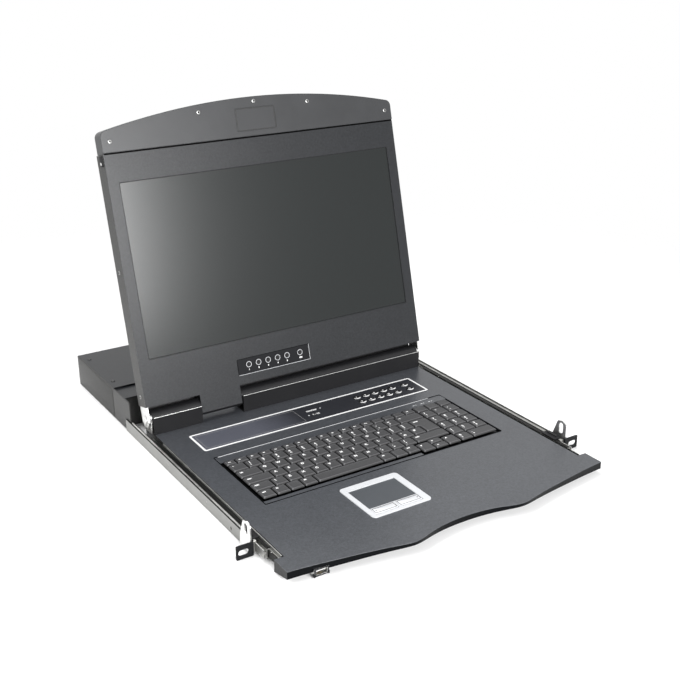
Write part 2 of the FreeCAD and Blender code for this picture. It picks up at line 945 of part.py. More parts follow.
def numpad_cells():
    """Cells of the number pad: five rows of three, the front one with a double key."""
    cells = []
    x = [numpad_left + i * numpad_pitch for i in range(4)]
    cells.append((x[0], x[1], numpad_front, numpad_front + numpad_pitch))
    cells.append((x[1], x[3], numpad_front, numpad_front + numpad_pitch))
    for row in range(1, 6):
        y0 = numpad_front + row * numpad_pitch
        y1 = y0 + numpad_pitch if row < 5 else keys_rear
        for column in range(3):
            cells.append((x[column], x[column + 1], y0, y1))
    return cells


def all_key_cells():
    """Every cell that has a stem, for the guide holes of the keyboard plate."""
    cells = []
    for name, row, widths in key_rows:
        cells += row_cells(row, widths)
    cells += [enter_cells()[0]] + space_cells() + arrow_cells() + numpad_cells()
    return cells


def keyboard_base():
    """Keyboard base: a rim under the tray sheet, the plate that guides the stems, a rear strip."""
    low = key_plate_top - keyboard_plate
    rim = slab(keyboard_corners(keyboard_margin + keyboard_lap), on_xy, low, tray_skin)
    well = slab(keyboard_corners(keyboard_margin - seam), on_xy, key_plate_top, tray_top)
    strip_face = rounded(keyboard_left - keyboard_margin + seam, numpad_right + keyboard_margin - seam,
                         keys_rear + key_gap, keys_rear + keyboard_strip - seam, well_corner - key_corner)
    strip = slab(strip_face, on_xy, low, tray_top + keyboard_strip_proud)
    guides = []
    for cell in all_key_cells():
        place = stem_place(cell)
        guides.append(rod(stem_radius + running, place + V(0, 0, low - 1), place + V(0, 0, key_plate_top + 1)))
    return fused([rim.cut(well), strip]).cut(group(guides))


def channel_panel():
    """Channel selection panel: a thin plate over its opening, with holes for the round keys."""
    plate = slab(rounded(panel_left, panel_right, panel_front, panel_rear, panel_corner), on_xy, tray_top,
                 tray_top + panel_proud)
    root = box(panel_left + panel_rim + seam, panel_right - panel_rim - seam,
               panel_front + panel_rim + seam, panel_rear - panel_rim - seam, tray_top - panel_root, tray_top)
    holes = []
    for place in panel_key_places():
        holes.append(rod(panel_key_radius + seam, place - V(0, 0, 2 * panel_root), place + V(0, 0, 2 * panel_proud)))
    return fused([plate, root]).cut(group(holes))


def channel_key(place):
    """Round channel key with a collar that keeps it under the panel."""
    foot = place - V(0, 0, panel_root + panel_key_collar)
    cap = rod(panel_key_radius, foot, place + V(0, 0, panel_proud + panel_key_travel))
    collar = rod(panel_key_radius + panel_key_collar, foot, foot + V(0, 0, panel_key_collar - seam / 3))
    return fused([cap, collar])


def panel_key_places():
    """Centres of the twelve round keys on the panel."""
    columns = [panel_right - panel_key_inset + i * panel_key_pitch for i in range(5)]
    columns.append(columns[-1] + panel_key_pitch + panel_key_step)
    middle = (panel_front + panel_rear) / 2
    places = []
    for x in columns:
        for y in (middle - panel_key_pitch / 2, middle + panel_key_pitch / 2):
            places.append(V(x, y, tray_top))
    return places


button_row_front = pad_front + pad_button_setback
button_row_rear = button_row_front + pad_button_depth
pad_window_front = button_row_rear + pad_bar
pad_window_rear = pad_rear - pad_window_back
pad_window_left = pad_left + pad_window_side
pad_window_right = pad_right - pad_window_far_side
button_split = (pad_window_left + pad_window_right) / 2


def button_window(side, grow):
    """Plan of one touchpad button, grown by a clearance."""
    x0 = button_split + side * pad_bar
    x1 = button_split + side * (pad_bar + pad_button_width)
    return (min(x0, x1) - grow, max(x0, x1) + grow, button_row_front - grow, button_row_rear + grow)


def touchpad_frame():
    """Frame of the touchpad with windows for the pad and the two buttons."""
    face = slab(rounded(pad_left, pad_right, pad_front, pad_rear, pad_frame_radius), on_xy, tray_top,
                tray_top + pad_frame_proud)
    rim = pad_rim + seam
    skirt = box(pad_left + rim, pad_right - rim, pad_front + rim, pad_rear - rim, tray_top - pad_skirt,
                tray_top)
    wall = rim + pad_wall
    low = tray_top - 2 * pad_skirt
    high = tray_top + 2 * pad_skirt
    pocket = box(pad_left + wall, pad_right - wall, pad_front + wall, pad_rear - wall, low,
                 tray_top - pad_wall)
    cuts = [pocket, box(pad_window_left, pad_window_right, pad_window_front, pad_window_rear, low, high)]
    for side in (-1, 1):
        x0, x1, y0, y1 = button_window(side, seam)
        cuts.append(box(x0, x1, y0, y1, low, high))
    return fused([face, skirt]).cut(group(cuts))


def touchpad_plate():
    """Touch-sensitive plate, held from below behind its window."""
    top = box(pad_window_left + pad_fit, pad_window_right - pad_fit, pad_window_front + pad_fit,
              pad_window_rear - pad_fit, tray_top - pad_wall, tray_top + pad_fit)
    under = box(pad_window_left - pad_bar, pad_window_right + pad_bar, pad_window_front + pad_fit,
                pad_window_rear + pad_bar, tray_top - pad_plate_drop, tray_top - pad_wall)
    return fused([top, under])


def touchpad_button(side):
    """Click button in front of the touchpad."""
    x0, x1, y0, y1 = button_window(side, 0)
    foot = tray_top - pad_wall - pad_fit
    cap = slab(rounded(x0, x1, y0, y1, pad_button_radius), on_xy, foot - pad_fit,
               tray_top + pad_frame_proud + pad_button_proud)
    under = box(x0 - pad_button_lap, x1 + pad_button_lap, y0 + pad_fit, y1 + pad_button_lap,
                tray_top - pad_plate_drop + pad_fit, foot)
    return fused([cap, under])


tray_board_width = 130.0
tray_board_depth = 56.0
tray_board_margin = 7.0
tray_post = 1.6


def tray_board():
    """Keyboard and touchpad controller board on four posts above the pan."""
    floor = tray_bottom + thin_sheet
    left = pad_left + tray_board_margin
    right = left + tray_board_width
    rear = keys_front - 2 * tray_board_margin
    front = rear - tray_board_depth
    top = floor + tray_post + board_thickness
    parts = [box(left, right, front, rear, floor + tray_post, top)]
    for x in (left + tray_board_margin, right - tray_board_margin):
        for y in (front + tray_board_margin, rear - tray_board_margin):
            parts.append(rod(post_radius, V(x, y, floor), V(x, y, floor + tray_post)))
    x = (left + right) / 2
    y = (front + rear) / 2
    parts.append(box(x - chip_size / 2, x + chip_size / 2, y - chip_size / 2, y + chip_size / 2, top,
                     top + tray_post))
    return fused(parts)


def usb_socket():
    """Front USB socket hanging in a notch of the lip."""
    half = usb_case_width / 2
    rear = usb_front + usb_depth
    case = box(usb_x - half, usb_x + half, usb_front, rear, usb_case_bottom, usb_case_top)
    level = (usb_case_bottom + usb_case_top) / 2
    mouth = box(usb_x - usb_width / 2, usb_x + usb_width / 2, usb_front - sheet, rear - sheet,
                level - usb_height / 2, level + usb_height / 2)
    side = usb_width / 2 - 3 * seam
    tongue = box(usb_x - side, usb_x + side, usb_front + sheet, rear - sheet + seam / 3, level + seam,
                 level + usb_height / 3)
    return fused([case.cut(mouth), tongue])


# ---- Hinge --------------------------------------------------------------------------------


def hinge_cover(x0, x1, floor_left, floor_right):
    """Open-topped cover in front of, under and behind a stretch of the hinge barrel."""
    front_face = hinge_y - cover_wall_front
    rear_face = hinge_y + cover_wall_rear
    front = slab([
        (front_face, tray_top),
        (front_face + sheet, tray_top),
        (front_face + sheet, hinge_z + cover_wall_height),
        (front_face, hinge_z + cover_wall_height, sheet * 0.9),
    ], on_yz, x0, x1)
    rear = box(x0, x1, rear_face, rear_face + sheet, tray_top, hinge_z - cover_rear_drop)
    floor = box(floor_left, floor_right, front_face + sheet / 2, rear_face + sheet / 2, tray_top,
                tray_top + thin_sheet)
    return fused([front, rear, floor])


def hinge_bracket():
    """Right hinge bracket: a foot on the tray and an upright that holds the pin."""
    reach = cover_wall_front - sheet - 3
    foot = box(bracket_inner - bracket_foot, bracket_outer, hinge_y - reach, hinge_y + reach, tray_top,
               tray_top + sheet)
    upright = slab([
        (hinge_y - reach, tray_top),
        (hinge_y + reach, tray_top),
        (hinge_y + reach, hinge_z + bracket_rise, bracket_corner),
        (hinge_y - reach, hinge_z + bracket_rise, bracket_corner),
    ], on_yz, bracket_inner, bracket_outer)
    hole = rod(pin_radius + running / 2, V(bracket_inner - 1, hinge_y, hinge_z),
               V(bracket_outer + 1, hinge_y, hinge_z))
    return fused([foot, upright]).cut(hole)


pin_depth = 22.0
barrel_wall = 2.0
barrel_web = 4.0


def hinge_pin():
    """Right hinge pin, fast in its bracket, with a head outside the display's arm."""
    outside = arm_outer + seam
    shank = rod(pin_radius, V(barrel_half - pin_depth + barrel_wall, hinge_y, hinge_z),
                V(outside, hinge_y, hinge_z))
    head = rod(pin_radius + pin_head_lap, V(outside, hinge_y, hinge_z),
               V(outside + pin_head_height, hinge_y, hinge_z))
    return fused([shank, head])


def hinge_arm():
    """Right display arm: an eye round the hinge pin and a blade up into the housing."""
    front = -bezel_front + thin_sheet + seam
    back = barrel_radius - thin_sheet
    blade = box(arm_inner, arm_outer, front, back, 0, arm_height)
    eye = rod(back, V(arm_inner, 0, 0), V(arm_outer, 0, 0))
    holes = [rod(pin_radius + running, V(arm_inner - 1, 0, 0), V(arm_outer + 1, 0, 0))]
    for height in side_screw_heights:
        holes.append(rod(screw_radius + running, V(arm_inner - 1, 0, height), V(arm_outer + 1, 0, height)))
    return fused([blade, eye]).cut(group(holes))


def display_barrel():
    """Barrel along the hinge axis, joined to the housing by a web along its back."""
    tube = rod(barrel_radius, V(-barrel_half, 0, 0), V(barrel_half, 0, 0))
    web = box(-barrel_half, barrel_half, barrel_radius - barrel_web, barrel_radius, 0, bezel_bottom)
    bore_half = barrel_half - pin_depth - 3
    bore = rod(barrel_radius - barrel_wall, V(-bore_half, 0, 0), V(bore_half, 0, 0))
    shaft = rod(pin_radius + running, V(-barrel_half - 1, 0, 0), V(-barrel_half + pin_depth, 0, 0))
    flat = box(neck_left - seam, neck_right + seam, -2 * barrel_radius, -bezel_front + thin_sheet + seam,
               -barrel_radius, barrel_radius)
    slot = box(neck_left + 3 * neck_wall, neck_right - 3 * neck_wall, -barrel_radius / 3,
               barrel_radius / 3, 0, barrel_radius + 1)
    return fused([tube, web]).cut(group([bore, shaft, mirrored(shaft)])).cut(flat).cut(slot)


def neck_block(wall, low, high):
    """Block across the neck between the tab and the web, drawn inside by a wall."""
    return box(neck_left + seam + wall, neck_right - seam - wall, -bezel_front + thin_sheet + wall,
               barrel_radius - barrel_web - seam - wall, low, high)


def cable_neck():
    """Hollow neck behind the bezel's tab, which guides the cables into the barrel."""
    barrel = rod(barrel_radius + seam, V(neck_left, 0, 0), V(neck_right, 0, 0))
    hollow = neck_block(neck_wall, -1, bezel_bottom + 1)
    return neck_block(0, 0, bezel_bottom).cut(group([barrel])).cut(hollow)


# ---- Display ------------------------------------------------------------------------------

osd_level = osd_bottom + osd_height * 0.6
osd_places = [osd_left + osd_button_inset + i * osd_button_pitch for i in range(5)]
osd_power_place = osd_places[-1] + osd_power_step
crown_screw_places = []
for place_share, drop_share in ((0, 0.25), (0.376, 0.41), (0.95, 0.61)):
    crown_screw_places.append((place_share * display_half, drop_share * crown_rise))
side_screw_heights = (arm_height / 2, (bezel_bottom + crown_side) / 2)


crown_radius = (display_half ** 2 + crown_rise ** 2) / (2 * crown_rise)
crown_centre = crown_peak - crown_radius


def crown_height(x, drop):
    """Height under the crown's arched edge at a distance from the middle."""
    return crown_centre + math.sqrt(crown_radius ** 2 - x * x) - drop


def crown_outline(inset, bottom):
    """Front view of the crown, drawn inside by an inset: an arch that runs smoothly into its corners."""
    half = display_half - inset
    arch = crown_radius - inset
    corner = crown_corner - inset
    rise = math.sqrt((arch - corner) ** 2 - (half - corner) ** 2)
    outward = V(half - corner, 0, rise).normalize()
    diagonal = (outward + V(1, 0, 0)).normalize()
    centre = V(half - corner, 0, crown_centre + rise)
    turn = centre + outward * corner
    middle = centre + diagonal * corner
    side = centre + V(corner, 0, 0)
    foot = V(half, 0, bottom)
    turn_left, middle_left, side_left, foot_left = [V(-p.x, 0, p.z) for p in (turn, middle, side, foot)]
    edges = [
        Part.Arc(side_left, middle_left, turn_left).toShape(),
        Part.Arc(turn_left, V(0, 0, crown_centre + arch), turn).toShape(),
        Part.Arc(turn, middle, side).toShape(),
        Part.LineSegment(side, foot).toShape(),
        Part.LineSegment(foot, foot_left).toShape(),
        Part.LineSegment(foot_left, side_left).toShape(),
    ]
    return Part.Face(Part.Wire(edges))


def crown_cap():
    """Arched cap along the top of the display, hollow and open towards the housing."""
    front = -bezel_front - crown_proud
    face = crown_outline(0, bezel_top + seam)
    face.translate(V(0, front, 0))
    body = face.extrude(V(0, barrel_radius - front, 0))
    back_edges = []
    for edge in body.Edges:
        reach = edge.BoundBox
        if reach.YMin > barrel_radius - seam and reach.ZMax > bezel_top + sheet:
            back_edges.append(edge)
    body = body.makeFillet(crown_back_radius, back_edges)
    groove = box(-display_half, display_half, front, front + crown_wall / 2, bezel_top, bezel_top + crown_groove)
    inner = crown_outline(crown_wall, bezel_top - sheet)
    inner.translate(V(0, front + crown_wall, 0))
    hollow = inner.extrude(V(0, barrel_radius - front - 2 * crown_wall, 0))
    shell = body.cut(hollow).cut(groove)
    bosses = []
    holes = []
    for x, z in crown_screw_points():
        bosses.append(rod(screw_head_radius, V(x, front + sheet, z), V(x, barrel_radius - sheet, z)))
        holes.append(rod(screw_radius + running, V(x, front - seam, z), V(x, front + screw_length + seam, z)))
    return fused([shell] + bosses).cut(group(holes))


def crown_screw_points():
    """Places of the five screws under the crown's arched edge."""
    points = []
    for x, drop in crown_screw_places:
        z = crown_height(x, drop)
        points.append((x, z))
        if x > 0:
            points.append((-x, z))
    return points


def display_bezel():
    """Front sheet of the display with the screen window and the tab over the neck."""
    low = -bezel_front
    sheet_face = box(-display_half, display_half, low, low + thin_sheet, bezel_bottom, bezel_top)
    tab = box(neck_left, neck_right, low, low + thin_sheet, -neck_drop, bezel_bottom + 1)
    window = box(-window_width / 2, window_width / 2, low - 1, low + 3, window_bottom, window_top)
    holes = [window]
    for x in osd_places + [osd_power_place]:
        holes.append(rod(osd_button_radius + seam, V(x, low - 1, osd_level), V(x, low + 3, osd_level)))
    return fused([sheet_face, tab]).cut(group(holes))


def display_shell():
    """Rear housing of the display: back, sides, top and bottom."""
    low = -bezel_front + thin_sheet
    back = barrel_radius
    outer = box(-display_half, display_half, low, back, bezel_bottom, bezel_top)
    inner = box(-display_half + thin_sheet, display_half - thin_sheet, low - 1, back - thin_sheet,
                bezel_bottom + thin_sheet, bezel_top - thin_sheet)
    shell = outer.cut(inner)
    neck = neck_block(neck_wall, bezel_bottom - 1, bezel_bottom + 2 * thin_sheet)
    arm_slot = box(arm_inner - seam, display_half - thin_sheet, low - 1, back - thin_sheet, bezel_bottom - 1,
                   bezel_bottom + 2 * thin_sheet)
    holes = [neck, arm_slot, mirrored(arm_slot)]
    for height in side_screw_heights:
        hole = rod(screw_radius + running, V(display_half - 3, 0, height), V(display_half + 1, 0, height))
        holes += [hole, mirrored(hole)]
    return shell.cut(group(holes))


lcd_front = -bezel_front + thin_sheet
lcd_thickness = 8.0
lcd_border = 4.0
mount_width = 20.0
mount_place = 120.0


def lcd_panel():
    """Liquid crystal panel and its backlight, behind the window."""
    half = window_width / 2 + lcd_border
    return box(-half, half, lcd_front, lcd_front + lcd_thickness, window_bottom - lcd_border,
               window_top + lcd_border)


def panel_mounts():
    """Two upright channels that hold the panel to the back of the housing."""
    front = lcd_front + lcd_thickness
    back = barrel_radius - thin_sheet
    low = window_bottom + mount_width / 2
    high = window_top - mount_width / 2
    outer = box(-mount_width / 2, mount_width / 2, front, back, low, high)
    inner = box(-mount_width / 2 + thin_sheet, mount_width / 2 - thin_sheet, front + thin_sheet, back + 1,
                low - 1, high + 1)
    upright = outer.cut(inner)
    place = V(mount_place, 0, 0)
    return group([upright.translated(place), upright.translated(place * -1)])


def badge_plate():
    """Bare badge plate on the front of the crown."""
    front = -bezel_front - crown_proud
    corners = rounded(-badge_width / 2, badge_width / 2, badge_bottom, badge_bottom + badge_height, badge_corner)
    return slab(corners, on_xz, front - badge_proud, front)


controller_width = 140.0
controller_height = 100.0
controller_offset = -10.0
controller_lift = 30.0
controller_post = 4.4
button_board_gap = 2.6
button_board_margin = 2.0


def display_board():
    """Screen controller on the back wall, and the button board behind the bezel."""
    wall = barrel_radius - thin_sheet
    face = wall - controller_post - board_thickness
    left = controller_offset - controller_width / 2
    right = left + controller_width
    low = window_bottom + controller_lift
    high = low + controller_height
    parts = [box(left, right, face, wall - controller_post, low, high)]
    for x in (left + 2 * post_radius, right - 2 * post_radius):
        for z in (low + 2 * post_radius, high - 2 * post_radius):
            parts.append(rod(post_radius, V(x, wall - controller_post, z), V(x, wall, z)))
    z = (low + high) / 2
    parts.append(box(controller_offset - chip_size / 2, controller_offset + chip_size / 2,
                     face - board_thickness, face, z - chip_size / 2, z + chip_size / 2))
    controller = fused(parts)
    front = -bezel_front + thin_sheet
    margin = button_board_margin
    board = box(osd_left + margin, osd_left + osd_width - margin, front + button_board_gap,
                front + button_board_gap + board_thickness, osd_bottom + margin / 2,
                osd_bottom + osd_height - margin / 2)
    posts = []
    for x in (osd_left + 2.5 * margin, osd_left + osd_width - 2.5 * margin):
        z = osd_bottom + 1.5 * margin
        posts.append(rod(margin, V(x, front, z), V(x, front + button_board_gap, z)))
    return group([controller, fused([board] + posts)])


def osd_plate():
    """Raised plate round the screen menu buttons."""
    low = -bezel_front - osd_proud
    plate = slab(rounded(osd_left, osd_left + osd_width, osd_bottom, osd_bottom + osd_height, osd_corner),
                 on_xz, low, -bezel_front)
    holes = []
    for x in osd_places + [osd_power_place]:
        holes.append(rod(osd_button_radius + seam, V(x, low - 1, osd_level), V(x, 0, osd_level)))
    return plate.cut(group(holes))


def osd_button(x):
    """Round menu button with a collar that keeps it behind the bezel."""
    tip = -bezel_front - osd_proud - osd_button_travel - osd_button_clear
    collar_front = -bezel_front + thin_sheet + osd_button_clear / 2
    collar_back = collar_front + osd_button_travel
    end = -bezel_front + thin_sheet + button_board_gap - osd_button_travel
    cap = rod(osd_button_radius, V(x, tip, osd_level), V(x, collar_front, osd_level))
    collar = rod(osd_button_radius + thin_sheet, V(x, collar_front, osd_level), V(x, collar_back, osd_level))
    stem = rod(thin_sheet, V(x, collar_back, osd_level), V(x, end, osd_level))
    return fused([cap, collar, stem])


def display_screws():
    """Screws of the crown and of the housing's sides."""
    solids = []
    front = -bezel_front - crown_proud
    for x, z in crown_screw_points():
        solids.append(screw(V(x, front, z), (0, 1, 0)))
    for height in side_screw_heights:
        side = screw(V(display_half, 0, height), (-1, 0, 0))
        solids += [side, mirrored(side)]
    return group(solids)


# ---- Write the sub-parts ------------------------------------------------------------------

save("side_plates", pair(side_plate()))
save("case_floor", case_floor())
save("case_deck", case_deck())
save("case_cover", case_cover())
save("case_screws", case_screws())
save("rear_panel", rear_panel())
save("main_board", main_board())
save("rear_ports", rear_ports())
save("power_entry", power_entry())
save("power_rocker", power_rocker())
save("power_supply", power_supply())

save("rails", pair(rail()))
save("rack_ears", pair(rack_ear()))
save("strike_loops", pair(strike_loop()))
save("outer_members", pair(outer_member()))
save("slide_catches", pair(slide_catch()))
save("mid_members", pair(mid_member()))
save("inner_members", pair(inner_member()))

save("tray_deck", tray_deck())
save("tray_pan", tray_pan())
save("keyboard_base", keyboard_base())
for name, row, widths in key_rows:
    save(name, group([key_cell(*cell) for cell in row_cells(row, widths)]))
front_row = space_cells()
save("space_bar", key_cell(*front_row[4]))
save("keys_space_row", group([key_cell(*cell) for cell in front_row[:4] + front_row[5:]]))
save("enter_key", enter_key())
save("keys_arrows", group([key_cell(*cell) for cell in arrow_cells()]))
save("keys_numpad", group([key_cell(*cell) for cell in numpad_cells()]))
save("channel_panel", channel_panel())
save("channel_keys", group([channel_key(place) for place in panel_key_places()]))
save("touchpad_frame", touchpad_frame())
save("touchpad_plate", touchpad_plate())
save("touch_button_left", touchpad_button(-1))
save("touch_button_right", touchpad_button(1))
save("tray_board", tray_board())
save("usb_socket", usb_socket())

foot_end = bracket_inner - bracket_foot - seam
left_cover = hinge_cover(-cover_half, neck_left - 3 * seam, -foot_end, neck_left - 3 * seam)
right_cover = hinge_cover(neck_right + 3 * seam, cover_half, neck_right + 3 * seam, foot_end)
save("hinge_covers", group([left_cover, right_cover]))
save("hinge_brackets", pair(hinge_bracket()))
save("hinge_pins", pair(hinge_pin()))

save("hinge_arms", raised(pair(hinge_arm())))
save("display_barrel", raised(display_barrel()))
save("cable_neck", raised(cable_neck()))
save("display_shell", raised(display_shell()))
save("display_bezel", raised(display_bezel()))
save("crown_cap", raised(crown_cap()))
save("badge_plate", raised(badge_plate()))
save("lcd_panel", raised(lcd_panel()))
save("panel_mounts", raised(panel_mounts()))
save("display_board", raised(display_board()))
save("osd_plate", raised(osd_plate()))
save("display_screws", raised(display_screws()))
for number, x in enumerate(osd_places, start=1):
    save("osd_button_%d" % number, raised(osd_button(x)))
save("power_button", raised(osd_button(osd_power_place)))
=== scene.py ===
import json
import math

import bmesh
import bpy
from bpy.props import FloatProperty, FloatVectorProperty, PointerProperty
from mathutils import Matrix, Vector


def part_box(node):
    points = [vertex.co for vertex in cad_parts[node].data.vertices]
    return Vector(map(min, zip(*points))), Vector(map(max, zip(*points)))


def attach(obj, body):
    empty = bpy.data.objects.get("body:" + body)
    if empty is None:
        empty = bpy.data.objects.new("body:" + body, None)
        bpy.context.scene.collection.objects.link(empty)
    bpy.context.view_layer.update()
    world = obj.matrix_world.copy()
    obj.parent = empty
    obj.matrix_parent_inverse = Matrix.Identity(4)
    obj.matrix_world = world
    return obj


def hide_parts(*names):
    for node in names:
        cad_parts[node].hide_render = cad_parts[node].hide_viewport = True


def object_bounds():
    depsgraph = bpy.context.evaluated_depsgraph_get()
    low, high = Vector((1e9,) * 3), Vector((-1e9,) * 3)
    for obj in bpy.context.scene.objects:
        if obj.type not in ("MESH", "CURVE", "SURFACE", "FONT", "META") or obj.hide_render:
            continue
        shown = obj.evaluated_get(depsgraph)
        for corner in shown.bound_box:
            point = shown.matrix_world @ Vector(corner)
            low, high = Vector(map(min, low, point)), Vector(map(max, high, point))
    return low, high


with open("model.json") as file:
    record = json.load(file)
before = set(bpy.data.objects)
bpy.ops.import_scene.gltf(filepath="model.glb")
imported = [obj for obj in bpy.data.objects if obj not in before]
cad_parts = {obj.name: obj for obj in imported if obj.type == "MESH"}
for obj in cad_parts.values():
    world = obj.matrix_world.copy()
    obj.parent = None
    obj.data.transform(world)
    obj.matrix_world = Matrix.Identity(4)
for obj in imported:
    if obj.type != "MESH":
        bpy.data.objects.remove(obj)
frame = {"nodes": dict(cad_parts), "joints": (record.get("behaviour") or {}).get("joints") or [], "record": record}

bl_info = {
    "name": "Rack Console Drawer Dressing",
    "version": (1, 0, 0),
    "blender": (4, 5, 0),
    "location": "3D View > Sidebar > Console",
    "description": "Finishes and fine pieces for a rackmount console drawer built in CAD",
    "category": "Object",
}

CAD_BOX = [[float(value) for value in corner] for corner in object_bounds()]
MM = 0.001
PIECE_CREASE = math.radians(32)
NODE_CREASE = math.radians(30)
FIELD_WIDTH = 148.5 * MM     # dotted field of the channel panel
NODES = frame["nodes"]
SLOTS = {row["node"]: row["material_slot"] for row in frame["record"]["subparts"]}
BODY_OF = {node: body for body, members in frame["record"]["behaviour"]["bodies"].items() for node in members}


# ---- Settings -----------------------------------------------------------------------------


def length(name, text, value):
    """A size in metres that a user may change."""
    return FloatProperty(name=name, description=text, default=value, unit="LENGTH", precision=5)


def number(name, text, value, **limits):
    """A plain number that a user may change."""
    return FloatProperty(name=name, description=text, default=value, **limits)


def colour(name, text, value):
    """A colour that a user may change."""
    return FloatVectorProperty(name=name, description=text, default=value, subtype="COLOR",
                               min=0.0, max=1.0, size=3)


class FinishSettings(bpy.types.PropertyGroup):
    """Colours of the drawer's finishes."""

    coat: colour("Black coat", "Powder coat of the tray, bezel and lid", (0.015, 0.016, 0.018))
    side_coat: colour("Grey coat", "Powder coat of the case sides and display housing", (0.034, 0.034, 0.033))
    key_black: colour("Key black", "Plastic of the key caps", (0.048, 0.048, 0.050))
    trim_black: colour("Trim black", "Plastic of covers, catches and buttons", (0.010, 0.010, 0.011))
    crown_black: colour("Crown black", "Plastic of the arched crown", (0.030, 0.031, 0.033))
    film_black: colour("Panel film", "Printed film of the channel panel", (0.020, 0.021, 0.026))
    zinc: colour("Zinc", "Plating of rails and slide members", (0.30, 0.30, 0.29))
    nickel: colour("Nickel", "Plating of hinge arms, loops and screws", (0.78, 0.78, 0.77))
    silver: colour("Silver paint", "Painted plastic of the touchpad frame", (0.58, 0.59, 0.61))
    pad: colour("Touchpad", "Touch surface", (0.042, 0.047, 0.054))
    ink: colour("White ink", "Printed marks", (0.90, 0.90, 0.90))
    screen: colour("Screen", "Dark anti-glare screen surface", (0.006, 0.008, 0.008))
    board: colour("Circuit board", "Solder mask of the boards", (0.012, 0.085, 0.035))


class DetailSettings(bpy.types.PropertyGroup):
    """Sizes of the fine pieces."""

    cap_radius: length("Cap corner", "Corner radius at the foot of a key cap", 0.9 * MM)
    cap_top_radius: length("Cap top corner", "Corner radius at the top of a key cap", 1.8 * MM)
    cap_taper: length("Cap taper", "How far a cap's sides draw in on the way up", 1.35 * MM)
    cap_dish: length("Cap dish", "Depth of the hollow in a key cap", 0.28 * MM)
    legend: length("Legend size", "Height of a key's main character", 5.0 * MM)
    legend_weight: length("Legend weight", "How much bolder the characters are drawn", 0.30 * MM)
    ink_lift: length("Ink lift", "How far printed marks stand off their surface", 0.04 * MM)
    outline: length("Panel outline", "Width of the white line round the channel panel", 2.7 * MM)
    ring: length("Button ring", "Width of the printed ring round a button", 0.65 * MM)
    ball: length("Bearing ball", "Radius of the balls in the slides", 1.0 * MM)
    button: length("Display button", "Radius of the buttons under the screen", 4.2 * MM)


class StageSettings(bpy.types.PropertyGroup):
    """Camera, lamps and floor."""

    lens: number("Lens", "Focal length on a 36 mm wide sensor", 57.6)
    azimuth: number("Azimuth", "Camera direction round the drawer, degrees", -32.33)
    elevation: number("Elevation", "Camera height angle, degrees", 21.62)
    roll: number("Roll", "Camera roll, degrees", -0.15)
    camera_x: length("Camera X", "Camera place across", -0.66925)
    camera_y: length("Camera Y", "Camera place in depth", -0.88098)
    camera_z: length("Camera Z", "Camera height over the rack slots", 0.62591)
    world: number("World light", "Strength of the even light", 0.32, min=0.0)
    left_lamp: number("Left lamp", "Power of the large left lamp, watts", 24.0)
    top_lamp: number("Top lamp", "Power of the overhead lamp, watts", 30.0)
    front_lamp: number("Front lamp", "Power of the wide front lamp, watts", 84.0)


def finishes():
    return bpy.context.scene.console_finish


def details():
    return bpy.context.scene.console_detail


def stage_settings():
    return bpy.context.scene.console_stage


# ---- Shader building ----------------------------------------------------------------------


class Wire:
    """A node's output that can be used in Python expressions on values."""

    def __init__(self, nodes, socket):
        self.nodes = nodes
        self.socket = socket

    def __add__(self, other):
        return self.nodes.math("ADD", self, other)

    def __radd__(self, other):
        return self.nodes.math("ADD", other, self)

    def __sub__(self, other):
        return self.nodes.math("SUBTRACT", self, other)

    def __rsub__(self, other):
        return self.nodes.math("SUBTRACT", other, self)

    def __mul__(self, other):
        return self.nodes.math("MULTIPLY", self, other)

    def __rmul__(self, other):
        return self.nodes.math("MULTIPLY", other, self)

    def __truediv__(self, other):
        return self.nodes.math("DIVIDE", self, other)

    def __lt__(self, other):
        return self.nodes.math("LESS_THAN", self, other)

    def __gt__(self, other):
        return self.nodes.math("GREATER_THAN", self, other)


class Nodes:
    """A node tree that grows by expressions."""

    def __init__(self, tree):
        self.tree = tree

    def node(self, kind, settings=None, inputs=None, output=0):
        """Any node: its settings are set first, then the values or links of its sockets."""
        node = self.tree.nodes.new(kind)
        for key, value in (settings or {}).items():
            if key == "stops":
                set_stops(node.color_ramp, value)
            else:
                setattr(node, key, value)
        for key, value in (inputs or {}).items():
            self.feed(node.inputs[key], value)
        return Wire(self, node.outputs[output])

    def feed(self, socket, value):
        if isinstance(value, Wire):
            self.tree.links.new(value.socket, socket)
        else:
            socket.default_value = value

    def math(self, operation, first, second=0.0, clamp=False):
        return self.node("ShaderNodeMath", {"operation": operation, "use_clamp": clamp},
                         {0: first, 1: second})


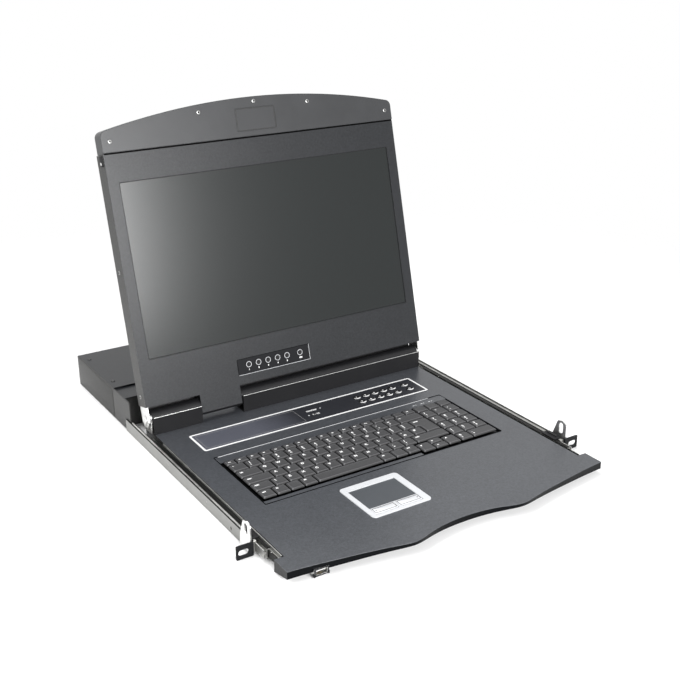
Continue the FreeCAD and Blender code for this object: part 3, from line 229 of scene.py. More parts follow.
class Finish(Nodes):
    """One material, built from expressions and ended in a Principled shader."""

    def __init__(self, name, **constants):
        self.material = bpy.data.materials.new(name)
        self.material.use_nodes = True
        super().__init__(self.material.node_tree)
        self.tree.nodes.clear()
        output = self.tree.nodes.new("ShaderNodeOutputMaterial")
        self.shader = self.tree.nodes.new("ShaderNodeBsdfPrincipled")
        self.tree.links.new(self.shader.outputs[0], output.inputs["Surface"])
        for key, value in constants.items():
            self.shader.inputs[key.replace("_", " ")].default_value = value

    def place(self):
        """Object coordinates, in metres."""
        return self.node("ShaderNodeTexCoord", output="Object")

    def axis(self, name):
        """One object coordinate as a value."""
        return self.node("ShaderNodeSeparateXYZ", inputs={0: self.place()}, output=name)

    def waves(self, axis, pitch):
        """Sine along one axis, -1 to 1, that repeats at a pitch."""
        return self.math("SINE", self.axis(axis) * (2 * math.pi / pitch))

    def noise(self, size, detail=2.0, stretch=(1.0, 1.0, 1.0), roughness=0.5):
        """Noise with features of about the given size in metres, longer where stretch is larger."""
        scale = [1.0 / (size * s) for s in stretch]
        spot = self.node("ShaderNodeVectorMath", {"operation": "MULTIPLY"}, {0: self.place(), 1: scale})
        return self.node("ShaderNodeTexNoise", inputs={"Vector": spot, "Scale": 1.0, "Detail": detail,
                                                       "Roughness": roughness})

    def cells(self, size):
        """Distance to the nearest cell centre, for grains of the given size."""
        return self.node("ShaderNodeTexVoronoi", inputs={"Vector": self.place(), "Scale": 1.0 / size})

    def mix(self, share, first, second):
        """Mix of two colours."""
        return self.node("ShaderNodeMix", {"data_type": "RGBA"}, {0: share, 6: first, 7: second}, output=2)

    def tones(self, share, rgb, first, second):
        """Mix of two shades of one colour."""
        return self.mix(share, shade(rgb, first), shade(rgb, second))

    def bump(self, height, depth, normal=None):
        """Normal bent by a height of 0 to 1 that stands for a depth in metres."""
        inputs = {"Height": height, "Distance": depth, "Strength": 1.0}
        if normal is not None:
            inputs["Normal"] = normal
        return self.node("ShaderNodeBump", inputs=inputs)

    def rounded_edges(self, radius):
        """Normal that rounds off sharp edges."""
        return self.node("ShaderNodeBevel", {"samples": 4}, {"Radius": radius})

    def finish(self, base, roughness, normal=None, metallic=None):
        """Feed what varies over the surface and return the material."""
        for name, value in (("Base Color", base), ("Roughness", roughness), ("Normal", normal),
                            ("Metallic", metallic)):
            if value is not None:
                self.feed(self.shader.inputs[name], value)
        return self.material


def set_stops(ramp, stops):
    """Give a colour ramp its two stops: pairs of a position and a grey."""
    for element, (position, grey) in zip(ramp.elements, stops):
        element.position = position
        element.color = (grey, grey, grey, 1.0)


def shade(rgb, factor):
    """A colour made lighter or darker, as RGBA."""
    return (*[min(1.0, c * factor) for c in rgb[:3]], 1.0)


# ---- Finishes of this drawer --------------------------------------------------------------


def powder_coat(name, rgb, gloss=0.26, edge=0.0006, lip=None, shine=0.27):
    """Fine-grained powder coat on folded steel; below a lip's level, where one is given, it is made metallic and
    near black as painted shade.
    """
    coat = Finish(name, Specular_IOR_Level=shine)
    grain = coat.noise(0.0009, detail=3.0)
    drift = coat.noise(0.09)
    mottle = coat.noise(0.0026, detail=3.0, roughness=0.7)
    tone = coat.tones(0.25 * drift + 1.6 * mottle - 0.42, rgb, 0.55, 1.45)
    tone = coat.mix(0.35 * (grain > 0.60), tone, shade(rgb, 2.0))
    lip_shade = None
    if lip is not None:
        # painted shade: under the lip's level the coat turns metallic and near black, standing in for the shadow
        # on the front lip
        lip_shade = coat.axis("Z") < lip
        tone = coat.mix(lip_shade, tone, shade(rgb, 0.14))
    normal = coat.bump(grain + mottle, 0.00009, coat.rounded_edges(edge))
    return coat.finish(tone, gloss + 0.10 * grain + 0.06 * (drift - 0.5), normal, lip_shade)


def plating(name, rgb, polish=0.30, along=(1.0, 30.0, 1.0), painted_shade=None):
    """Bright plating with faint rolling marks and cloudy patches, near black as painted shade where a mask is
    given.
    """
    metal = Finish(name, Metallic=1.0)
    marks = metal.noise(0.0005, detail=4.0, stretch=along)
    cloud = metal.noise(0.012, detail=3.0)
    tone = metal.tones(cloud, rgb, 0.80, 1.12)
    if painted_shade is not None:
        # painted shade: near-black plating where the mask puts the metal in the shadow of a gap
        tone = metal.mix(painted_shade(metal), tone, shade(rgb, 0.05))
    normal = metal.bump(marks, 0.00002, metal.rounded_edges(0.0003))
    return metal.finish(tone, polish + 0.16 * marks + 0.12 * (cloud - 0.5), normal)


def moulded(name, rgb, gloss=0.45, grain_size=0.0004, depth=0.00002, edge=0.0004, shine=0.25):
    """Moulded plastic with a fine spark texture."""
    plastic = Finish(name, Specular_IOR_Level=shine)
    grain = plastic.noise(grain_size)
    wear = plastic.noise(0.03, detail=3.0)
    normal = plastic.bump(grain, depth, plastic.rounded_edges(edge))
    tone = plastic.tones(wear, rgb, 0.85, 1.18)
    return plastic.finish(tone, gloss + 0.08 * grain + 0.05 * (wear - 0.5), normal)


def key_moulding(name, rgb):
    """Spark-textured key plastic, with painted shade down the sides and a painted highlight along the rims."""
    plastic = Finish(name, Specular_IOR_Level=0.3)
    way = plastic.node("ShaderNodeTexCoord", output="Normal")
    upward = plastic.node("ShaderNodeSeparateXYZ", inputs={0: way}, output="Z")
    flat, highlight_slope = 0.97, 0.64      # upward slopes from which a face is a cap's top or its rim
    top = plastic.math("MULTIPLY", upward - flat, 60.0, clamp=True)
    rim = plastic.math("MULTIPLY", upward - highlight_slope, 8.0, clamp=True)
    grain = plastic.noise(0.0003)
    speck = plastic.noise(0.0011, roughness=0.6)
    # painted shade on the cap's steep sides, at a fifth of its colour, and a painted highlight on the rim's slope,
    # at twice its colour
    tone = plastic.mix(top, plastic.tones(rim, rgb, 0.22, 2.1), plastic.tones(speck, rgb, 0.62, 1.4))
    normal = plastic.bump(grain, 0.00003, plastic.rounded_edges(0.0004))
    return plastic.finish(tone, 0.46 + 0.1 * grain, normal)


def silver_paint(name, rgb):
    """Silver paint with fine metal flakes."""
    paint = Finish(name, Coat_Weight=0.10, Coat_Roughness=0.25)
    flakes = paint.cells(0.00035)
    tone = paint.tones(flakes, rgb, 1.12, 0.86)
    normal = paint.bump(flakes, 0.000008, paint.rounded_edges(0.0006))
    return paint.finish(tone, 0.34 + 0.12 * flakes, normal, 0.02 + 0.06 * paint.noise(0.02))


def panel_film(name, rgb, dotted_to):
    """Printed film: a dotted field that fades in to the left of a line, smooth film right of it."""
    film = Finish(name, Specular_IOR_Level=0.3, Coat_Weight=0.08, Coat_Roughness=0.2)
    fade = 0.07
    field = film.math("MULTIPLY", dotted_to - film.axis("X"), 1 / fade, clamp=True)
    pitch = 0.0016
    dots = (film.waves("X", pitch) * film.waves("Y", pitch) > 0.15) * field
    tone = film.mix(dots, film.tones(field, rgb, 0.9, 3.4), shade(rgb, 5.0))
    normal = film.bump(dots, 0.00004, film.rounded_edges(0.0003))
    return film.finish(tone, 0.36 + 0.1 * film.noise(0.03) + 0.15 * dots, normal)


def touch_surface(name, rgb):
    """Fine, evenly textured touch surface."""
    surface = Finish(name, Specular_IOR_Level=0.5)
    grain = surface.cells(0.0006)
    tone = surface.tones(surface.noise(0.03), rgb, 0.9, 1.15)
    return surface.finish(tone, 0.42 + 0.1 * grain, surface.bump(grain, 0.00001))


def screen_surface(name, rgb):
    """Dark anti-glare screen: nearly smooth, with a very fine sparkle and faint dust."""
    screen = Finish(name, Specular_IOR_Level=0.42)
    sparkle = screen.noise(0.00022, detail=1.0)
    dust = screen.noise(0.004, detail=6.0, roughness=0.7)
    tone = screen.tones(0.5 * (dust > 0.72), rgb, 1.0, 2.2)
    return screen.finish(tone, 0.20 + 0.04 * sparkle, screen.bump(sparkle, 0.000004))


def circuit_board(name, rgb):
    """Green solder mask over a grid of copper tracks."""
    mask = Finish(name, Coat_Weight=0.4, Coat_Roughness=0.15)
    pitch = 0.0025
    lines = mask.math("MAXIMUM", mask.waves("X", pitch) > 0.75, mask.waves("Y", 2 * pitch) > 0.85)
    copper = lines * (mask.noise(0.02) > 0.48)
    return mask.finish(mask.tones(copper, rgb, 1.0, 2.4), 0.35 - 0.1 * copper, mask.bump(copper, 0.00002))


def printed_ink(name, rgb):
    """Screen-printed ink, slightly uneven."""
    ink = Finish(name, Specular_IOR_Level=0.4)
    spread = ink.noise(0.0006, detail=3.0)
    return ink.finish(ink.tones(spread, rgb, 0.80, 1.08), 0.5 + 0.1 * spread, ink.bump(spread, 0.00001))


def above(node, depth):
    """Mask of the top of a node, down to a depth."""
    return lambda metal: metal.axis("Z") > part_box(node)[1].z - depth


def inside_of(node, depth):
    """Mask of the part of a left and right pair that is further in than a depth."""
    return lambda metal: metal.math("ABSOLUTE", metal.axis("X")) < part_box(node)[1].x - depth


def outside_of(node, depth):
    """Mask of the outermost part of a left and right pair, in to a depth."""
    return lambda metal: metal.math("ABSOLUTE", metal.axis("X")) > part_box(node)[1].x - depth


EVEN = (1.0, 1.0, 1.0)       # no grain in any direction
SHELF = {}


def stock(name):
    """Material of a finish, made the first time it is needed."""
    if name not in SHELF:
        SHELF[name] = RECIPES[name](finishes())
    return SHELF[name]


RECIPES = {
    "black_steel": lambda f: powder_coat("black_coat", f.coat),
    # the tray's coat carries painted shade on its front lip, below the deck's top
    "tray_coat": lambda f: powder_coat("tray_coat", shade(f.coat, 3.3), shine=0.5,
                                       lip=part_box("tray_deck")[1].z - 0.5 * MM),
    "grey_steel": lambda f: powder_coat("grey_coat", f.side_coat, gloss=0.38, edge=0.0009),
    # painted shade: the ears' coat is a darker copy of the black coat, standing in for the shade that falls on
    # them
    "shaded_ear_coat": lambda f: powder_coat("shaded_ear_coat", shade(f.coat, 0.4), gloss=0.40, shine=0.12),
    "zinc_steel": lambda f: plating("bright_zinc", f.zinc, polish=0.36),
    # painted shade: the rails' tops and the members' hidden edges are masked near black as the shadow in the gaps
    # between them
    "rail_zinc": lambda f: plating("rail_zinc", f.zinc, polish=0.36, painted_shade=above("rails", 0.7 * MM)),
    "outer_zinc": lambda f: plating("outer_zinc", shade(f.zinc, 1.9), polish=0.36,
                                    painted_shade=inside_of("outer_members", 3.4 * MM)),
    "mid_zinc": lambda f: plating("mid_zinc", shade(f.zinc, 1.6), polish=0.36,
                                  painted_shade=above("mid_members", 0.9 * MM)),
    "inner_zinc": lambda f: plating("inner_zinc", shade(f.zinc, 1.6), polish=0.36,
                                    painted_shade=outside_of("inner_members", 2.4 * MM)),
    "dark_steel": lambda f: plating("dark_steel", shade(f.nickel, 0.07), polish=0.2, along=EVEN),
    "screw_steel": lambda f: plating("screw_steel", shade(f.nickel, 0.36), polish=0.34, along=EVEN),
    # painted shadow: near-black matt plastic laid in joints, grooves and recesses where shade falls
    "gap_black": lambda f: moulded("gap_black", shade(f.trim_black, 0.2), gloss=0.8, shine=0.04),
    "nickel_steel": lambda f: plating("bright_nickel", f.nickel, polish=0.22, along=(1.0, 1.0, 8.0)),
    "black_plastic": lambda f: moulded("black_moulding", f.trim_black, shine=0.17),
    "key_plastic": lambda f: key_moulding("key_moulding", f.key_black),
    "crown_plastic": lambda f: moulded("crown_moulding", f.crown_black, gloss=0.30, grain_size=0.0007,
                                       depth=0.00004, edge=0.0014, shine=0.34),
    "silver_plastic": lambda f: silver_paint("silver_paint", f.silver),
    "pad_plastic": lambda f: touch_surface("touch_surface", f.pad),
    "panel_film": lambda f: panel_film("panel_film", f.film_black,
                                       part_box("channel_panel")[0].x + FIELD_WIDTH),
    "button_film": lambda f: moulded("button_film", shade(f.film_black, 0.3), gloss=0.5, shine=0.13),
    "grey_ink": lambda f: printed_ink("grey_ink", shade(f.ink, 0.30)),
    "screen": lambda f: screen_surface("screen_surface", f.screen),
    "board": lambda f: circuit_board("circuit_board", f.board),
    "barrel_alloy": lambda f: powder_coat("barrel_coat", f.trim_black, gloss=0.34, edge=0.0004),
    "ink": lambda f: printed_ink("white_ink", f.ink),
    "contacts": lambda f: plating("contact_gold", (0.83, 0.62, 0.26), polish=0.22, along=(1.0, 6.0, 1.0)),
}


# ---- Mesh helpers -------------------------------------------------------------------------


def crease(data, angle):
    """Shade a mesh smooth, except over edges sharper than an angle."""
    data.shade_smooth()
    data.set_sharp_from_angle(angle=angle)


def linked(name, data):
    """A new object for some data, put in the scene."""
    made = bpy.data.objects.new(name, data)
    bpy.context.scene.collection.objects.link(made)
    return made


def solid(name, mesh):
    """A new object from a finished bmesh."""
    data = bpy.data.meshes.new(name)
    mesh.to_mesh(data)
    mesh.free()
    return linked(name, data)


def piece(name, mesh, body, finish, smooth=True):
    """Turn mesh data into a named piece that rides on a body and has a finish."""
    bmesh.ops.recalc_face_normals(mesh, faces=mesh.faces)
    made = solid(name, mesh)
    made.data.materials.append(stock(finish))
    if smooth:
        crease(made.data, PIECE_CREASE)
    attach(made, body)
    finish in SLOTS.values()
    return made


def dress(*nodes, finish=None):
    """Give CAD nodes the finish of their slots, or another."""
    for node in nodes:
        data = NODES[node].data
        data.materials.clear()
        data.materials.append(stock(finish or SLOTS[node]))
        crease(data, NODE_CREASE)


def extent(points):
    """Low and high corner of a cloud of points."""
    return [Vector([pick(p[i] for p in points) for i in range(3)]) for pick in (min, max)]


def islands(node):
    """Low corner, high corner and points of each separate solid in a CAD node."""
    mesh = bmesh.new()
    mesh.from_mesh(NODES[node].data)
    bmesh.ops.remove_doubles(mesh, verts=mesh.verts, dist=1e-6)
    seen = set()
    found = []
    for start in mesh.verts:
        if start in seen:
            continue
        seen.add(start)
        stack = [start]
        points = []
        while stack:
            vertex = stack.pop()
            points.append(vertex.co.copy())
            for edge in vertex.link_edges:
                other = edge.other_vert(vertex)
                if other not in seen:
                    seen.add(other)
                    stack.append(other)
        found.append((*extent(points), points))
    mesh.free()
    return found


def ring_points(corners, radius, steps=5):
    """Points round a polygon with each corner rounded, in order."""
    points = []
    count = len(corners)
    for i, corner in enumerate(corners):
        back = (corners[i - 1] - corner).normalized()
        ahead = (corners[(i + 1) % count] - corner).normalized()
        half = math.acos(max(-1.0, min(1.0, back.dot(ahead)))) / 2
        reach = radius / math.tan(half)
        centre = corner + (back + ahead).normalized() * (radius / math.sin(half))
        start = corner + back * reach - centre
        end = corner + ahead * reach - centre
        for step in range(steps):
            points.append(centre + start.lerp(end, step / (steps - 1)).normalized() * radius)
    return points


def inset_polygon(corners, amount):
    """Polygon drawn in by an amount; its corners run anticlockwise."""
    result = []
    for i, corner in enumerate(corners):
        back = (corner - corners[i - 1]).normalized()
        ahead = (corners[(i + 1) % len(corners)] - corner).normalized()
        result.append(corner + (Vector((-back.y, back.x)) + Vector((-ahead.y, ahead.x))) * amount)
    return result


def rectangle(x0, x1, y0, y1):
    return [Vector((x0, y0)), Vector((x1, y0)), Vector((x1, y1)), Vector((x0, y1))]


def circle(radius, centre=(0.0, 0.0), steps=36):
    angles = [2 * math.pi * i / steps for i in range(steps)]
    return [(centre[0] + radius * math.cos(a), centre[1] + radius * math.sin(a)) for a in angles]


def at_level(points, level):
    """Flat points as 3-D points at one level."""
    return [(p[0], p[1], level) for p in points]


def in_mm(*pairs):
    """Pairs of millimetres as metres."""
    return [(a * MM, b * MM) for a, b in pairs]


def at(x, y, z=0.0):
    """Matrix that moves to a place."""
    return Matrix.Translation((x, y, z))


def facing(origin, normal, up=(0, 0, 1)):
    """Matrix whose Z is the normal, whose Y is up and whose origin is a point."""
    z = Vector(normal).normalized()
    x = Vector(up).cross(z).normalized()
    y = z.cross(x)
    return Matrix.Translation(origin) @ Matrix((x, y, z)).transposed().to_4x4()


def centre_of(low, high):
    return (low + high) / 2


def add_loft(mesh, rings, matrix=Matrix(), closed=False):
    """Skin rings of equally many points; cap the two ends, or join them when closed."""
    loops = [[mesh.verts.new(matrix @ Vector(p)) for p in ring] for ring in rings]
    count = len(loops[0])
    for lower, upper in zip(loops, loops[1:] + loops[:closed]):
        for i in range(count):
            mesh.faces.new((lower[i], lower[(i + 1) % count], upper[(i + 1) % count], upper[i]))
    if not closed:
        mesh.faces.new(list(reversed(loops[0])))
        mesh.faces.new(loops[-1])


def add_plate(mesh, corners, radius, low, high, bevel=0.0, matrix=Matrix()):
    """Plate over a rounded polygon, with its top edge bevelled in two steps."""
    profile = [(0.0, low), (0.0, high - bevel)]
    if bevel > 0:
        profile += [(bevel * 0.3, high - bevel * 0.3), (bevel, high)]
    rings = []
    for inset, level in profile:
        corner = max(radius - inset, bevel * 0.2)
        rings.append(at_level(ring_points(inset_polygon(corners, inset), corner), level))
    add_loft(mesh, rings, matrix)


def add_lathe(mesh, profile, matrix, steps=32):
    """Turn a profile of (radius, height) pairs about the matrix's Z axis."""
    add_loft(mesh, [at_level(circle(radius, steps=steps), height) for radius, height in profile], matrix)


def add_band(mesh, outer, inner, low, high, matrix=Matrix()):
    """Closed band between two rings of equally many 2-D points."""
    add_loft(mesh, [at_level(outer, low), at_level(outer, high), at_level(inner, high), at_level(inner, low)],
             matrix, closed=True)


def add_frame(mesh, low, high, edges, radii, levels, matrix=Matrix()):
    """Band along a box's outline, between two distances in from its edge."""
    rings = [ring_points(rectangle(low.x + edge, high.x - edge, low.y + edge, high.y - edge), radius)
             for edge, radius in zip(edges, radii)]
    add_band(mesh, *rings, *levels, matrix)


def add_text(mesh, words, size, matrix, depth):
    """Raised generic characters, lying in the matrix's XY plane from its origin."""
    curve = bpy.data.curves.new("mark", "FONT")
    curve.body = words
    curve.size = size
    curve.resolution_u = 2
    curve.extrude = depth / 2
    curve.offset = details().legend_weight * size / details().legend
    holder = linked("mark", curve)
    bpy.context.view_layer.update()
    data = bpy.data.meshes.new_from_object(holder)
    data.transform(matrix)
    mesh.from_mesh(data)
    bpy.data.objects.remove(holder)
    bpy.data.curves.remove(curve)
    bpy.data.meshes.remove(data)


def add_screw_head(mesh, matrix, radius, height):
    """Pan head with a cross recess, standing on the matrix's XY plane."""
    steps = 32
    profile = ((1.0, 0.0), (1.0, 0.35), (0.93, 0.68), (0.74, 0.92), (0.5, 1.0))
    rings = [at_level(circle(radius * across, steps=steps), height * up) for across, up in profile]
    cross = []
    for i in range(steps):
        angle = 2 * math.pi * i / steps
        r = radius * (0.14 + 0.30 * abs(math.cos(2 * angle)) ** 6)
        cross.append((r * math.cos(angle), r * math.sin(angle)))
    rings.append(at_level(cross, height * 0.98))
    rings.append([(x * 0.8, y * 0.8, height * 0.45) for x, y in cross])
    add_loft(mesh, rings, matrix)


def side_row(name, body, finish, box, spots, profile, steps, up=(0, 0, 1), matrix=Matrix()):
    """Turned heads on both sides of a box, at shares of its second and third directions."""
    low, high = box
    mesh = bmesh.new()
    for side in (-1, 1):
        for along, rise in spots:
            spot = (side * high.x, low.y + along * (high.y - low.y), low.z + rise * (high.z - low.z))
            add_lathe(mesh, in_mm(*profile), matrix @ facing(spot, (side, 0, 0), up), steps)
    piece(name, mesh, body, finish)


def turned_plate(side):
    """Matrix that stands an XY outline up as a YZ plate facing outwards."""
    turn = Matrix(((0, 0, 1), (1, 0, 0), (0, 1, 0))).to_4x4()
    return Matrix.Scale(-1, 4, Vector((1, 0, 0))) @ turn if side < 0 else turn


# ---- The display's own directions ---------------------------------------------------------


JOINTS = {joint["name"]: joint for joint in frame["joints"]}
HINGE_AXIS = Vector(JOINTS["lid_hinge"]["pos_m"])
INTO_PANEL = Vector(JOINTS["power_button_press"]["axis"]).normalized()
PANEL = facing(HINGE_AXIS, -INTO_PANEL, Vector((1.0, 0.0, 0.0)).cross(INTO_PANEL))
FROM_PANEL = PANEL.inverted()


def panel_points(node):
    """Points of a display node: across, up the panel, towards the user."""
    return [FROM_PANEL @ v.co for v in NODES[node].data.vertices]


def panel_box(node):
    """Low and high corner of a display node in the panel's own directions."""
    return extent(panel_points(node))


# ---- Case and rails -----------------------------------------------------------------------


class CONSOLE_OT_case(bpy.types.Operator):
    """Finish the case and fit its screws, rivets and rear sockets"""

    bl_idname = "console.case"
    bl_label = "Case"
    bl_options = {"REGISTER", "UNDO"}

    def execute(self, context):
        dress("side_plates", "case_floor", "case_deck", "case_cover", "rear_panel", "main_board",
              "rear_ports", "power_entry", "power_rocker", "power_supply")
        self.cover_screws()
        self.side_rivets()
        self.port_faces()
        self.rocker_marks()
        return {"FINISHED"}

    def cover_screws(self):
        """Cross-head screws in the cover, in place of the plain ones."""
        mesh = bmesh.new()
        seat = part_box("case_cover")[1].z
        for low, high, _ in islands("case_screws"):
            x, y, _ = centre_of(low, high)
            radius = (high.x - low.x) / 2
            add_screw_head(mesh, facing((x, y, seat), (0, 0, 1), (0, 1, 0)), radius, high.z - seat)
            add_lathe(mesh, [(radius * 0.5, 0.0), (radius * 0.5, seat - low.z)], at(x, y, low.z), 16)
        heads = piece("cover_screw_heads", mesh, "chassis", "dark_steel")
        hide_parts("case_screws")

    def side_rivets(self):
        """Flush rivets and overlapping plates along the sides of the case."""
        low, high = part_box("side_plates")
        side_row("side_rivets", "chassis", "black_plastic", (low, high),
                 [(0.33, 0.30), (0.33, 0.70), (0.09, 0.12), (0.93, 0.30), (0.93, 0.70)],
                 [(2.3, -0.15), (2.3, 0.0), (1.9, 0.12), (0.9, 0.2)], 24)
        seams = bmesh.new()
        line = low.y + 0.30 * (high.y - low.y)
        plate = rectangle(line, high.y - 1.5 * MM, low.z + 1.2 * MM, high.z - 1.6 * MM)
        for side in (-1, 1):
            add_plate(seams, plate, 1.0 * MM, -0.2 * MM, 0.35 * MM, 0.15 * MM,
                      at(side * high.x, 0) @ turned_plate(side))
        piece("side_overlap_plates", seams, "chassis", "grey_steel")

    def port_faces(self):
        """Dark faces with rows of pin holes, and a jack nut at each end of every port."""
        faces, pins, nuts = bmesh.new(), bmesh.new(), bmesh.new()
        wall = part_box("rear_panel")[1].y
        jack_reach, pin_pitch, row_pitch, stagger = 12.5 * MM, 2.3 * MM, 1.9 * MM, 0.4 * MM
        for _, _, points in islands("rear_ports"):
            low, high = extent([p for p in points if p.y > wall + 1.0 * MM])
            middle = centre_of(low, high)
            middle.y = high.y - 0.45 * MM
            plane = facing(middle, (0, 1, 0))
            half = (high.x - low.x) / 2 - 0.9 * MM
            rise = (high.z - low.z) / 2 - 0.8 * MM
            face = rectangle(-half, half, -rise, rise)
            add_plate(faces, face, 1.0 * MM, -0.3 * MM, 0.25 * MM, 0.1 * MM, plane)
            for row in (-1, 0, 1):
                for column in range(-2, 3):
                    spot = (column * pin_pitch + row * stagger, row * row_pitch)
                    add_band(pins, circle(0.55 * MM, spot, 12), circle(0.34 * MM, spot, 12),
                             0.2 * MM, 0.4 * MM, plane)
            for side in (-1, 1):
                nut = facing((middle.x + side * jack_reach, wall, middle.z), (0, 1, 0))
                add_band(nuts, circle(2.7 * MM, steps=6), circle(1.4 * MM, steps=6),
                         -0.2 * MM, 4.6 * MM, nut)
        piece("port_faces", faces, "chassis", "black_plastic")
        piece("port_pin_rims", pins, "chassis", "contacts")
        piece("port_jack_nuts", nuts, "chassis", "nickel_steel", smooth=False)

    def rocker_marks(self):
        """Line and ring on the mains rocker."""
        low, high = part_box("power_rocker")
        middle = centre_of(low, high)
        tip = math.radians(8.0)
        line, ring = [facing((middle.x + 1.2 * MM, high.y - 1.4 * MM, middle.z + sign * 4.2 * MM),
                             (0, math.cos(tip), math.sin(tip))) for sign in (1, -1)]
        mesh = bmesh.new()
        stroke = rectangle(-0.3 * MM, 0.3 * MM, -1.4 * MM, 1.4 * MM)
        add_plate(mesh, stroke, 0.1 * MM, 0.0, 0.5 * MM, matrix=line)
        add_band(mesh, circle(1.5 * MM), circle(1.0 * MM), 0.0, 0.3 * MM, ring)
        piece("rocker_marks", mesh, "rocker", "ink")


class CONSOLE_OT_rails(bpy.types.Operator):
    """Finish the rails, slide members, ears and loops and fit the bearing balls"""

    bl_idname = "console.rails"
    bl_label = "Rails and ears"
    bl_options = {"REGISTER", "UNDO"}

    def execute(self, context):
        dress("strike_loops", "slide_catches")
        for node, finish in (("rails", "rail_zinc"), ("outer_members", "outer_zinc"),
                             ("mid_members", "mid_zinc"), ("inner_members", "inner_zinc"),
                             ("rack_ears", "shaded_ear_coat")):
            dress(node, finish=finish)
        self.balls("mid_members", "mid_slides", "outer_balls")
        self.balls("inner_members", "tray", "inner_balls")
        side_row("rail_rivets", "chassis", "zinc_steel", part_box("rails"),
                 [(0.32, 0.5), (0.62, 0.5), (0.90, 0.5)], [(2.6, -0.1), (2.5, 0.25), (1.4, 0.4)], 28)
        return {"FINISHED"}

    def balls(self, node, body, name):
        """Two rows of balls along the grooves of a slide member."""
        radius = details().ball
        depth, first, pitch, filled = 0.55 * MM, 12.0 * MM, 7.0 * MM, 0.4
        rollers = bmesh.new()
        for low, high, points in islands(node):
            edge = max(abs(low.x), abs(high.x))
            x = math.copysign(edge - depth, low.x)
            groove = [p.z for p in points if abs(abs(p.x) - edge) < 0.01 * MM]
            for i in range(int((high.y - low.y) * filled / pitch)):
                for z in (max(groove) - 0.35 * radius, min(groove) + 0.35 * radius):
                    bmesh.ops.create_icosphere(rollers, subdivisions=2, radius=radius * 0.62,
                                               matrix=at(x, low.y + first + i * pitch, z))
        piece(name, rollers, body, "nickel_steel")


# ---- Tray ---------------------------------------------------------------------------------


class CONSOLE_OT_tray(bpy.types.Operator):
    """Finish the tray and fit the front socket's frame and contacts"""

    bl_idname = "console.tray"
    bl_label = "Tray"
    bl_options = {"REGISTER", "UNDO"}

    def execute(self, context):
        dress("tray_pan", "tray_board", "usb_socket")
        dress("tray_deck", "keyboard_base", finish="tray_coat")
        self.socket_frame()
        return {"FINISHED"}

    def socket_frame(self):
        """Black frame with two feet round the front socket, and its contacts."""
        low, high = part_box("usb_socket")
        middle = centre_of(low, high)
        front = facing((middle.x, low.y, middle.z), (0, -1, 0))
        half = (high.x - low.x) / 2
        rise = (high.z - low.z) / 2
        mesh = bmesh.new()
        outer = ring_points(rectangle(-half, half, -rise, rise), 0.8 * MM)
        inner = rectangle(1.5 * MM - half, half - 1.5 * MM, 1.3 * MM - rise, rise - 1.3 * MM)
        add_band(mesh, outer, ring_points(inner, 0.5 * MM), -0.6 * MM, 0.35 * MM, front)
        for x in (-half, half):
            foot = rectangle(x - 1.0 * MM, x + 1.0 * MM, -rise - 0.6 * MM, -rise + 2.6 * MM)
            add_plate(mesh, foot, 0.3 * MM, -3.0 * MM, 0.35 * MM, 0.2 * MM, front)
        piece("socket_frame", mesh, "tray", "black_plastic")
        pins = bmesh.new()
        for place in (-1.5, -0.5, 0.5, 1.5):
            x = place * 2.2 * MM
            strip = rectangle(x - 0.5 * MM, x + 0.5 * MM, 0.0, 0.25 * MM)
            add_plate(pins, strip, 0.05 * MM, -9.0 * MM, -2.2 * MM, matrix=front)
        piece("socket_contacts", pins, "tray", "contacts")


KEY_ROWS = {
    "keys_function_row": ["esc"] + ["F%d" % i for i in range(1, 13)] + ["", "", "", "del"],
    "keys_number_row": list("`1234567890-=") + ["<-"],
    "keys_upper_row": ["tab"] + list("QWERTYUIOP[]"),
    "keys_home_row": ["caps"] + list("ASDFGHJKL;'#"),
    "keys_lower_row": ["shift"] + list("\\ZXCVBNM,./") + ["shift"],
    "keys_space_row": ["ctrl", "fn", "", "alt", "alt", "", "ctrl"],
    "space_bar": [""],
    "enter_key": ["enter"],
    "keys_arrows": ["<", "v", "^", ">"],
    "keys_numpad": ["0", ".", "1", "2", "3", "4", "5", "6", "7", "8", "9", "/", "*", "-", "", "", ""],
}
SECOND_MARKS = dict(zip("1234567890-=[];',./", '!"$%%^&*()_+{}:@<>?'))
DEEP_KEY = 12.0 * MM         # caps shallower than this carry smaller characters


